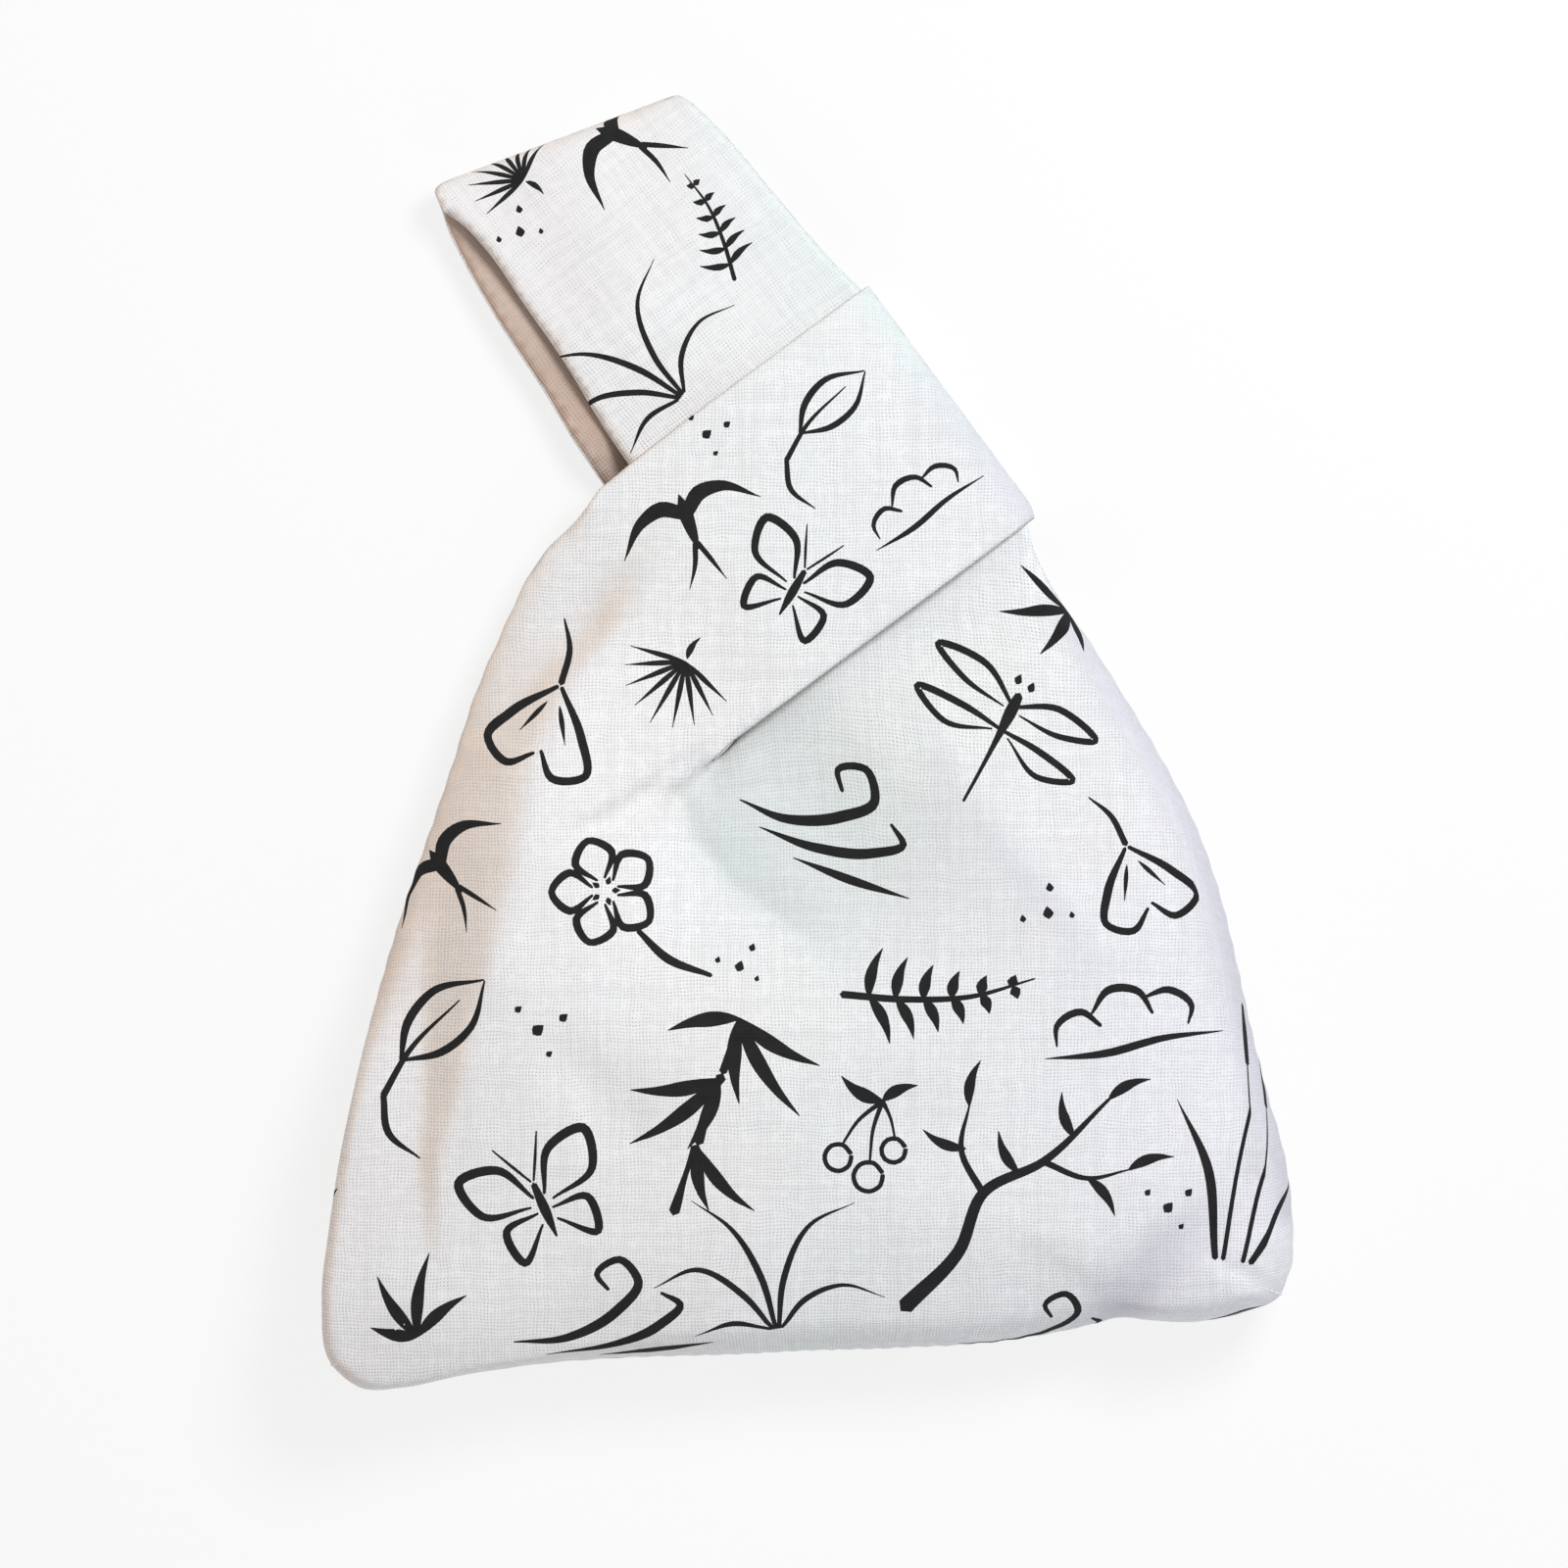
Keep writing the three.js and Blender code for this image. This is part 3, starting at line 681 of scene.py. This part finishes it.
def neck_sag(p):
    """Beside the strap the mouth's edge hangs slack: it dips to a crease that runs down from the neck."""
    _, v = knot_uv(p)
    below, past = neck_place(p)
    slit = smooth(v, -61, -55)
    soft = 2.0 + 6.0 * (1 - smooth(v, -78, -67))
    start = (1 - slit) * smooth(below, -soft, 0.8 * soft) + slit * (below > 0)
    rise = np.maximum(past, 0)
    bank = 0.5 * np.exp(-rise / 10) + 0.5 * np.clip(1 - rise / 44, 0, 1)
    valley = np.where(past < 0, np.exp(past / 15), bank)
    under = 3.0 * np.exp(-np.maximum(below, 0) / 7) * smooth(v, -68, -60) * (1 - smooth(v, 0, 33))
    return start * (NECK_DEEP * valley * (1 - smooth(below, 12, 66)) + under)


def roll_table(facing):
    """Along the seamed edge: how far it is sewn, its roll's width, length and wall, and its fall."""
    turn = rim_degrees
    sewn = smooth(turn, 1, 16) * (1 - smooth(turn, turn[-1] - 9, turn[-1] - 1))
    if facing > 0:
        width = np.interp(
            turn,
            [0, 15, 29, 46, 58, 70, 96, 104, 114, 128, 210, 228, 242, 300, 318],
            [6, 9, 9, 8, 5, 3, 3, 3.4, 5, 8, 9, 8, 6, 6, 5],
        )
        upright = np.interp(turn, [46, 66, 98, 116], [0, 0.8, 0.8, 0])
        dome = np.interp(
            turn,
            [0, 20, 92, 104, 118, 160, 206, 224, 242, 300, 318],
            [0, 1, 0, 4, 8, 10, 10, 7, 3, 2, 0],
        )
    else:
        width = np.interp(turn, [0, 30, 90, 220, 300, 318], [6, 14, 16, 16, 14, 8])
        upright, dome = np.zeros((2, len(turn)))
    shoulder = MIDDLE + (rim - MIDDLE) * (1 - width / rim_reach)[:, None]
    tall = crown_z(shoulder) - dome - left_drop(shoulder) - seam_z(rim) if facing > 0 else seam_z(rim)
    wall = upright * np.maximum(tall, 1)
    arc = wall + math.pi / 2 * np.sqrt((width**2 + (np.maximum(tall, 1) - wall) ** 2) / 2)
    return sewn, width, arc, wall, upright, dome


def flat_rim(facing):
    sewn, width, arc, *_ = roll_table(facing)
    return MIDDLE + (rim - MIDDLE) * (1 + sewn * (arc - width) / rim_reach)[:, None]


def roll_over(p, facing):
    """Where the body's flat cloth lies in plan, its climb up the roll, its fall and its nearest seam."""
    turn = np.arctan2(p[:, 1] - MIDDLE[1], p[:, 0] - MIDDLE[0])
    turn = np.where(turn < rim_turn[0] - 1e-9, turn + 2 * math.pi, turn)
    tables = (np.interp(turn, rim_turn, t) for t in (rim_reach, *roll_table(facing)))
    reach, sewn, width, arc, wall, upright, dome = tables
    past = turn > rim_turn[-1]
    sewn = np.where(past, 0, sewn)
    reach_flat = np.maximum(np.linalg.norm(p - MIDDLE, axis=1), 1e-6)
    deep = reach + sewn * (arc - width) - reach_flat
    share = np.clip((deep - wall) / (arc - wall), 0, 1)
    in_plan = np.where(deep < arc, width * (1 - np.cos(share * math.pi / 2)), width + deep - arc)
    pucker = 0.3 * np.exp(-((deep / 7) ** 2)) * (1 + np.sin(turn * 92)) / 2
    groove = 0.7 * np.exp(-((deep / 1.6) ** 2)) + pucker
    straight = np.clip(deep / np.maximum(wall, 1e-6), 0, 1)
    climb = upright * straight + (1 - upright) * np.sin(share * math.pi / 2)
    up = 1 - sewn * (1 - climb)
    inset = np.where(past, deep, (1 - sewn) * deep + sewn * (in_plan + groove))
    out = (p - MIDDLE) / reach_flat[:, None]
    plan = np.where(past[:, None], p, MIDDLE + out * (reach - inset)[:, None])
    dome = np.where(past, 0, sewn * dome * np.clip(1 - inset / DOME_W, 0, 1) ** 2)
    return plan, up, dome, MIDDLE + out * reach[:, None]


def ripple(p, length, seed):
    """Shallow uneven waves of about one length, the same on every run."""
    rng = np.random.default_rng(seed)
    total = np.zeros(len(p))
    for _ in range(9):
        way = rng.uniform(0, 2 * math.pi)
        step = 2 * math.pi / (length * rng.uniform(0.7, 1.5))
        cross = p @ np.array([math.cos(way + 1.7), math.sin(way + 1.7)])
        bend = 0.6 * np.sin(cross * step * 0.45 + rng.uniform(0, 6))
        total += np.sin(p @ np.array([math.cos(way), math.sin(way)]) * step + rng.uniform(0, 6) + bend)
    return total / 4


CORNERS = [[(-106, -140), (-99, -135), (-90, -129)], [(106, -125), (99, -121), (90, -116)]]
SHOULDER_GROOVE = ([(-33, 49), (-41, 38), (-50, 27.5), (-60, 16), (-68, 4)], 6, -4.2)
FRONT_FOLDS = (
    ([(12, 18), (30, -8), (44, -28), (62, -52)], 9, 1.1),
    ([(-2, -8), (8, -26), (22, -44)], 14, -2.0),
    ([(-25, -3), (-34, -9.5), (-42, -15.5), (-53, -21.5)], 2.4, -3.4),
    ([(-60, -66), (-49, -78), (-37, -91)], 7, -1.6),
    ([(100, -62), (98, -80), (96, -98)], 4, -1.6),
    ([(64, -133), (70, -126), (78, -117.5), (89, -109), (96, -100)], 6, -4.6),
    (CORNERS[0], 1.8, -1.0),
    (CORNERS[1], 1.8, -1.0),
)


def front_folds(p):
    """The soft folds of the front, in millimetres of height over the plan."""
    z = 0.35 * ripple(p, 46, 3) + 0.12 * ripple(p, 17, 5)
    for path, width, high in FRONT_FOLDS:
        z = z + fold(p, path, width, high)
    return z


def lay_side(p, facing):
    """Front (1) or back (-1) cloth in place: body rolled over to its seams, loop flat with a folded end."""
    u, v = knot_uv(p)
    loop = (u > -LOOP_W) & (v > HELD_V)
    plan, up, dome, edge = roll_over(p, facing)
    seam = seam_z(edge) + 0.15 * facing
    loose = smooth(from_knot(plan), 0, 26)
    if facing > 0:
        free = crown_z(plan) - dome - left_drop(plan) - neck_sag(p) + front_folds(plan) * loose
        free = free + fold(plan, *SHOULDER_GROOVE) * smooth(from_knot(plan), 0, 22)
    else:
        free = MOUTH_LIFT * under_loop(p) + 0.35 * (1 + ripple(p, 50, 12)).clip(0, 2) * loose
    body = seam + (free - seam) * up
    plan = plan + (MOUTH_TUCK * under_loop(p))[:, None] * UP
    bend_v = FOLD_V - 1.8 * np.clip(1 - (u + LOOP_W) / 5, 0, 1) ** 2
    turn = np.clip((v - bend_v) / FOLD_R, 0, math.pi / 2)
    past = np.maximum(v - bend_v - FOLD_R * math.pi / 2, 0)
    loop_v = np.where(v > bend_v, bend_v + FOLD_R * np.sin(turn), v)
    drop = FOLD_R * (1 - np.cos(turn)) + past
    wave = 0.3 * (1 + ripple(p, 40, 8)).clip(0, 2) * (1 - smooth(v, 10, FOLD_V)) * smooth(v, HELD_V, -26)
    band = LOOP_TOP - drop + wave if facing > 0 else drop
    at = np.where(loop[:, None], knot_xy(u, loop_v), plan)
    return np.column_stack([at, np.where(loop, band, body)])


def edge_round(reach, width):
    """How far cloth is rounded down near its edge: 1 at the edge, 0 from the given width on."""
    off = 1 - np.clip(reach / width, 0, 1)
    return 1 - np.sqrt(1 - off**2)


def hem_fall(p, hem, facing):
    """The turned edge of the cloth: rounded down at the very edge, and thicker over the seam allowance."""
    reach = gap_to(p, hem)
    u, v = knot_uv(p)
    slack = (1 - smooth(v, -50, -38)) * (np.abs(u + 0.75 * LOOP_W) < 0.25 * LOOP_W)
    near_neck = np.where(u < -LOOP_W / 2, smooth(v, -LOOP_ROOT + 1, -53), 1)
    rounded = (1 + 1.4 * slack) * edge_round(reach, HEM_EDGE + 2.3 * slack)
    return facing * near_neck * (HEM_THICK * (1 - smooth(reach, 6, 8)) - rounded)


def side_outline(facing, inset=0.0):
    """The flat cut of the front (1) or back (-1), and its free edges along the mouth and the loop's top."""

    def slit_half(v):
        return 0.06 + (0.85 + inset) * smooth(v, -LOOP_ROOT, -50)

    v = np.linspace(33, -LOOP_ROOT, 67)
    slit_low = knot_xy(-LOOP_W - slit_half(v), v)[1:]
    v = np.linspace(-LOOP_ROOT, FOLD_END, 72)
    half = slit_half(v)
    slit_high = knot_xy(half - LOOP_W, v)
    end = knot_xy(np.linspace(half[-1] - LOOP_W, -inset, 44), np.full(44, FOLD_END))[1:]
    top = spline([(0, FOLD_END), (0, 0), (-0.3, -28), (-0.9, HELD_V)], 1.5)[1:-1]
    top = knot_xy(top[:, 0] - inset, top[:, 1])
    ring = np.concatenate([flat_rim(facing), slit_low, slit_high, end, top])
    return ring, np.concatenate([slit_low, slit_high]), top


front_layout = [
    (GINKGO, -56, 12, 160, 1.0),
    (SWALLOW, -27, 49, 20, 0.62),
    (BUTTERFLY, -3, 35, -30, 0.8),
    (LEAVES, -2, 70, 40, 0.7),
    (CLOUD, 26, 53, 36, 0.55),
    (PINE, -28, 18, 150, 0.8),
    (DROPS, -24, 69, 0, 0.8),
    (SWALLOW, -82, -30, 40, 0.6),
    (BLOSSOM, -46, -34, 20, 1.0),
    (WAVES, 4, -20, -28, 0.85),
    (DRAGONFLY, 44, 2, -30, 0.95),
    (GINKGO, 72, -24, 200, 0.9),
    (LEAVES, -92, -72, 40, 0.9),
    (BAMBOO, -24, -84, -16, 0.95),
    (FERN, 28, -58, -24, 0.95),
    (CLOUD, 72, -66, 10, 0.75),
    (BUTTERFLY, -60, -104, 24, 0.9),
    (TWIG, 46, -104, 6, 0.95),
    (GRASS, -8, -133, 10, 0.62),
    (REEDS, 97, -90, -8, 0.9),
    (SPRAY, -88, -134, 20, 0.9),
    (WAVES, -46, -132, 0, 0.85),
    (BERRIES, 12, -90, -6, 0.72),
    (WAVES, 54, -138, -4, 0.75),
    (DROPS, -62, -66, 0, 1.0),
    (DROPS, 54, -40, 60, 0.9),
    (DROPS, -16, -52, 30, 0.8),
    (DROPS, 80, -106, 10, 0.9),
    (PINE, -106, -46, 60, 0.7),
    (SPRAY, 62, 30, 130, 0.8),
    (SPRAY, -116, -112, 30, 0.9),
    (LEAVES, 92, -144, 30, 0.8),
]
outline, mouth_hem, loop_hem = side_outline(1)
cut = cut_sheet(outline, 1.6, brush_marks(front_layout), np.concatenate([mouth_hem, loop_hem]))
place = lay_side(cut[0], 1)
place[:, 2] += hem_fall(cut[0], mouth_hem, 1) + hem_fall(cut[0], loop_hem, 1)
# The front's painted shade, kept in its 'shade' attribute.
shade = front_painted_shade(cut[0], place[:, :2])
front = sew_cloth("front_cloth", cut, place, OUTER_THICK, outer_finish, shade=shade)
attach(front, "bag")
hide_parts("outer_front_panel", "loop_outer_front")

# Back of the bag: the same cut in the same printed cloth. It lies flat on the table and rolls up to the
# seams, and its part of the loop passes behind the strap.
back_layout = [
    (GRASS, 62, -126, -6, 0.8),
    (BAMBOO, 20, -62, 20, 1.0),
    (TWIG, -44, -104, 168, 1.0),
    (SWALLOW, 52, -24, 150, 0.9),
    (SWALLOW, -66, -40, 20, 0.8),
    (REEDS, -92, -96, 8, 0.9),
    (WAVES, 6, -132, 176, 0.9),
    (DRAGONFLY, -20, -34, 30, 1.0),
    (PINE, 84, -66, 200, 0.9),
    (BUTTERFLY, 52, -84, 140, 0.9),
    (FERN, -18, -84, 200, 0.9),
    (CLOUD, 66, -48, 170, 0.7),
    (LEAVES, 4, 40, 40, 0.9),
    (GINKGO, 28, 70, 100, 0.8),
    (BERRIES, -74, -128, 4, 0.8),
    (BLOSSOM, -52, 8, 100, 0.9),
    (DROPS, -60, -64, 0, 1.0),
]
outline, mouth_hem, loop_hem = side_outline(-1)
cut = cut_sheet(outline, 2.0, brush_marks(back_layout), np.concatenate([mouth_hem, loop_hem]))
place = lay_side(cut[0], -1)
place[:, 2] += hem_fall(cut[0], mouth_hem, -1) + hem_fall(cut[0], loop_hem, -1)
place[:, 2] = np.maximum(place[:, 2], 0)
back = sew_cloth("back_cloth", cut, place, OUTER_THICK, outer_finish, True)
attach(back, "bag")
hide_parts("outer_back_panel", "loop_outer_back")

# Lining: pale beige cotton, cut as the outer cloth and sewn to it along the mouth and the loop's edges.
# It hangs just inside the outer cloth and shows only where the mouth and the straps open.
LINING_THICK = 0.6
LINING_INSET = 0.7
LINING_DEPTH = 1.7
lining_finish = woven_finish(
    "beige_lining",
    (0.67, 0.555, 0.49, 1),
    (0.41, 0.33, 0.285, 1),
    [(0.0, (1, 0.985, 0.97)), (0.5, (0.985, 0.98, 0.98)), (1.0, (0.99, 0.975, 0.98))],
    False,
)


def inner_side(place, faces, depth):
    """Moves laid cloth to the inner side of its faces by a depth."""
    a, b, c = (place[faces[:, i]] for i in range(3))
    across = np.cross(b - a, c - a)
    lean = np.zeros_like(place)
    for i in range(3):
        np.add.at(lean, faces[:, i], across)
    return place - depth * lean / np.maximum(np.linalg.norm(lean, axis=1), 1e-9)[:, None]


for name, facing, nodes in (
    ("front_lining", 1, ("lining_front_panel", "loop_lining_front")),
    ("back_lining", -1, ("lining_back_panel", "loop_lining_back")),
):
    outline, *_ = side_outline(facing, LINING_INSET)
    cut = cut_sheet(outline, 2.6)
    place = inner_side(lay_side(cut[0], facing), cut[1], LINING_DEPTH * facing)
    place[:, 2] -= 1.8 * facing * np.exp(-((np.linalg.norm(cut[0] - NECK, axis=1) / 9) ** 2))
    lining = sew_cloth(name, cut, place, LINING_THICK, lining_finish, facing > 0)
    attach(lining, "bag")
    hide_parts(*nodes)

# Handle: the right shoulder's long strap, two straps of printed cloth backed with lining and joined at the
# top fold. It comes up through the short loop, and the back strap spreads a little so that its lining shows
# on the left.
STRAP_END = -46.0
STRAP_R = 5.7


def handle_top(v):
    return 68.6 - 0.285 * v


def lay_handle(p, facing):
    """Strap cloth in place, from flat cloth whose x runs across the strap and y along it."""
    v, u = p.T
    start = handle_top(v) - STRAP_R
    turn = np.clip((u - start) / STRAP_R, 0, math.pi / 2)
    at_u = np.where(u > start, start + STRAP_R * np.sin(turn), u)
    z = LOOP_MID + facing * STRAP_R * np.cos(turn)
    free = smooth(u, 3, 26) * np.cos(turn)
    sag = 0.6 * ripple(p, 34, 21) if facing > 0 else -1.5 + 0.2 * ripple(p, 34, 22)
    draw = -2.2 * smooth(-v, -10, 36) if facing > 0 else 5.4 * smooth(-v, 10, 34)
    return np.column_stack([knot_xy(at_u, v), z + free * sag + smooth(u, -8, 10) * np.cos(turn) * draw])


def handle_outline(facing, inset=0.0):
    """The flat cut of the front (1) or back (-1) strap up to the top fold, and its right and left edges."""
    if facing > 0:
        left = [(-33.4, STRAP_END), (-33.2, 2), (-32.8, 11), (-31.4, 25), (-30.7, 44)]
        left += [(-30.3, 58), (-31.2, 66), (-32.8, 71)]
    else:
        left = [(-40.2, STRAP_END), (-40.5, 4), (-40.2, 11), (-38.9, 25), (-37.8, 44)]
        left += [(-36.1, 59), (-34.4, 68), (-33, 72)]
    right = [(33, STRAP_END), (32.9, 0), (31.6, 9), (30.1, 29.5), (28.8, 48.4), (27.4, 57)]
    right = [(v - inset, u) for v, u in right]
    left = [(v + inset, u) for v, u in left]
    reach = STRAP_R * (math.pi / 2 - 1)
    top = [(v, handle_top(v) + reach) for v in np.linspace(20, -27, 7)]
    bottom = [(v, STRAP_END) for v in np.linspace(left[0][0], right[0][0], 45)[:-1]]
    right_edge = spline(right, 1.5)
    right_corner = spline([right[-1], (25.2 - inset, 63), top[0]], 1.5)[1:]
    left_corner = spline([top[-1], (-31.2 + inset, 77.4), left[-1]], 1.5)[1:]
    left_edge = spline(left[::-1], 1.5)[1:-1]
    ring = np.concatenate([bottom, right_edge, right_corner, spline(top, 1.5)[1:], left_corner, left_edge])
    return ring, right_edge, left_edge


handle_layout = {
    1: [
        (GRASS, -15, 5, 16, 0.58),
        (SWALLOW, 10, 60, 30, 0.62),
        (FERN, 15, 31, 50, 0.58),
        (DROPS, -22, 56, 30, 0.8),
        (PINE, -14, 66, 20, 0.7),
        (LEAVES, -4, -24, 100, 0.8),
    ],
    -1: [
        (BAMBOO, 0, 34, 10, 0.8),
        (SWALLOW, -10, 64, 20, 0.6),
        (SPRAY, 14, 6, 30, 0.8),
        (DROPS, 18, 54, 0, 0.8),
    ],
}
for facing, side in ((1, "front"), (-1, "back")):
    for name, inset, depth, finish, slot, thick in (
        (f"handle_{side}_cloth", 0.0, 0.0, outer_finish, "outer_cloth", OUTER_THICK),
        (f"handle_{side}_lining", 0.5, 1.6, lining_finish, "lining_cloth", LINING_THICK),
    ):
        outer = depth == 0
        outline, right_hem, left_hem = handle_outline(facing, inset)
        cut = cut_sheet(outline, 1.6 if outer else 2.2, brush_marks(handle_layout[facing]) if outer else ())
        place = lay_handle(cut[0], facing)
        v, u = cut[0].T
        if outer:
            right_gap = gap_to(cut[0], right_hem)
            edge_gap = np.minimum(right_gap, gap_to(cut[0], left_hem))
            place[:, 2] -= facing * 0.9 * edge_round(edge_gap, HEM_EDGE)
            # Painted shade over the strap's right half, stronger along its right edge.
            dim = 0.3 * smooth(v, 4, 22) + 0.5 * (1 - smooth(right_gap, 0.5, 5))
        else:
            place = inner_side(place, cut[1], depth * facing)
            # Painted shadow of the straps on their lining: full inside the strap, fading over the strip that
            # shows at the left edge, half as strong further up.
            dim = smooth(v, -42, -34) * (1 - 0.5 * smooth(u, 12, 50))
        strap = sew_cloth(name, cut, place, thick, finish, outer == (facing < 0), dim)
        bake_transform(strap)
        kind = "outer" if outer else "lining"
        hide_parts(f"strap_{kind}_{side}", f"handle_{kind}_{side}")

# Seams: off-white polyester thread in the turned seams that join front and back at the sides and the base,
# across the boxed corners, and at the ends of the loop and the handle. Only a little of each stitch shows.
STITCH = 2.4
THREAD_STEP = 0.6
THREAD_SIDES = 6
seam_finish, wire = new_finish("seam_thread")
flat = wire.make("ShaderNodeTexCoord", (), (), out=3)
fuzz = wire.make("ShaderNodeTexNoise", (), {"Vector": flat, "Scale": 1800.0, "Detail": 2.0})
sockets = {"Base Color": fuzz.tint((0.74, 0.73, 0.71, 1), (0.9, 0.89, 0.87, 1)), "Roughness": 0.8}
sockets["Normal"] = wire.make("ShaderNodeBump", (), {"Strength": 0.4, "Distance": 0.0001, "Height": fuzz})
wire.make("ShaderNodeOutputMaterial", (), {"Surface": wire.make("ShaderNodeBsdfPrincipled", (), sockets)})


def stitch_line(name, path, body, node):
    """A row of lockstitches along a path: the thread thins where it dives into the cloth at each stitch."""
    path = np.asarray(path, float)
    run = np.concatenate([[0], np.cumsum(np.linalg.norm(np.diff(path, axis=0), axis=1))])
    count = max(int(run[-1] / THREAD_STEP), 8)
    at = np.linspace(0, run[-1], count)
    line = np.column_stack([np.interp(at, run, path[:, i]) for i in range(3)])
    lean = np.gradient(line, axis=0)
    lean /= np.linalg.norm(lean, axis=1)[:, None]
    side = np.cross(lean, (0.12, 0.31, 0.94))
    side /= np.linalg.norm(side, axis=1)[:, None]
    lift = np.cross(side, lean)
    thick = 0.16 + 0.2 * np.abs(np.sin(math.pi * at / STITCH)) ** 0.6
    rings = []
    for k in range(THREAD_SIDES):
        a = math.tau * k / THREAD_SIDES
        rings.append(line + thick[:, None] * (math.cos(a) * side + math.sin(a) * lift))
    corners = np.stack(rings, axis=1).reshape(-1, 3)
    faces = []
    for i in range(0, THREAD_SIDES * (count - 1), THREAD_SIDES):
        for k in range(THREAD_SIDES):
            a, b = i + k, i + (k + 1) % THREAD_SIDES
            faces.append((a, b, b + THREAD_SIDES, a + THREAD_SIDES))
    faces.append(tuple(range(THREAD_SIDES))[::-1])
    faces.append(tuple(range(THREAD_SIDES * (count - 1), THREAD_SIDES * count)))
    mesh = bpy.data.meshes.new(name)
    mesh.from_pydata((corners * MM).tolist(), [], faces)
    mesh.shade_smooth()
    mesh.materials.append(seam_finish)
    thread = bpy.data.objects.new(name, mesh)
    scene.collection.objects.link(thread)
    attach(thread, body)
    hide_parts(node)


inner = MIDDLE + (rim - MIDDLE) * (1 - 1.1 / rim_reach)[:, None]
seam_path = np.column_stack([inner, seam_z(rim)])
for name, start, end in (("left_side_seam", 21, 93), ("base_seam", 93, 224), ("right_side_seam", 224, 310)):
    stretch = (rim_degrees >= start) & (rim_degrees <= end)
    stitch_line(name + "_stitches", seam_path[stretch], "bag", name)
for name, corner in zip(("left_corner_seam", "right_corner_seam"), CORNERS):
    flat = MIDDLE + np.linspace(1.18, 0.86, 30)[:, None] * (np.array(corner[0]) - MIDDLE)
    stitch_line(name + "_stitches", lay_side(flat, 1) - (0, 0, 0.3), "bag", name)
u = np.linspace(-LOOP_W + 2, -2, 60)
loop_end = np.column_stack([knot_xy(u, np.full(60, FOLD_V + FOLD_R - 0.9)), np.full(60, LOOP_MID)])
stitch_line("loop_end_stitches", loop_end, "bag", "loop_end_seam")
v = np.linspace(-26, 20, 50)
handle_end = np.column_stack([knot_xy(handle_top(v) - 0.9, v), np.full(50, LOOP_MID)])
stitch_line("handle_end_stitches", handle_end, "handle", "handle_end_seam")
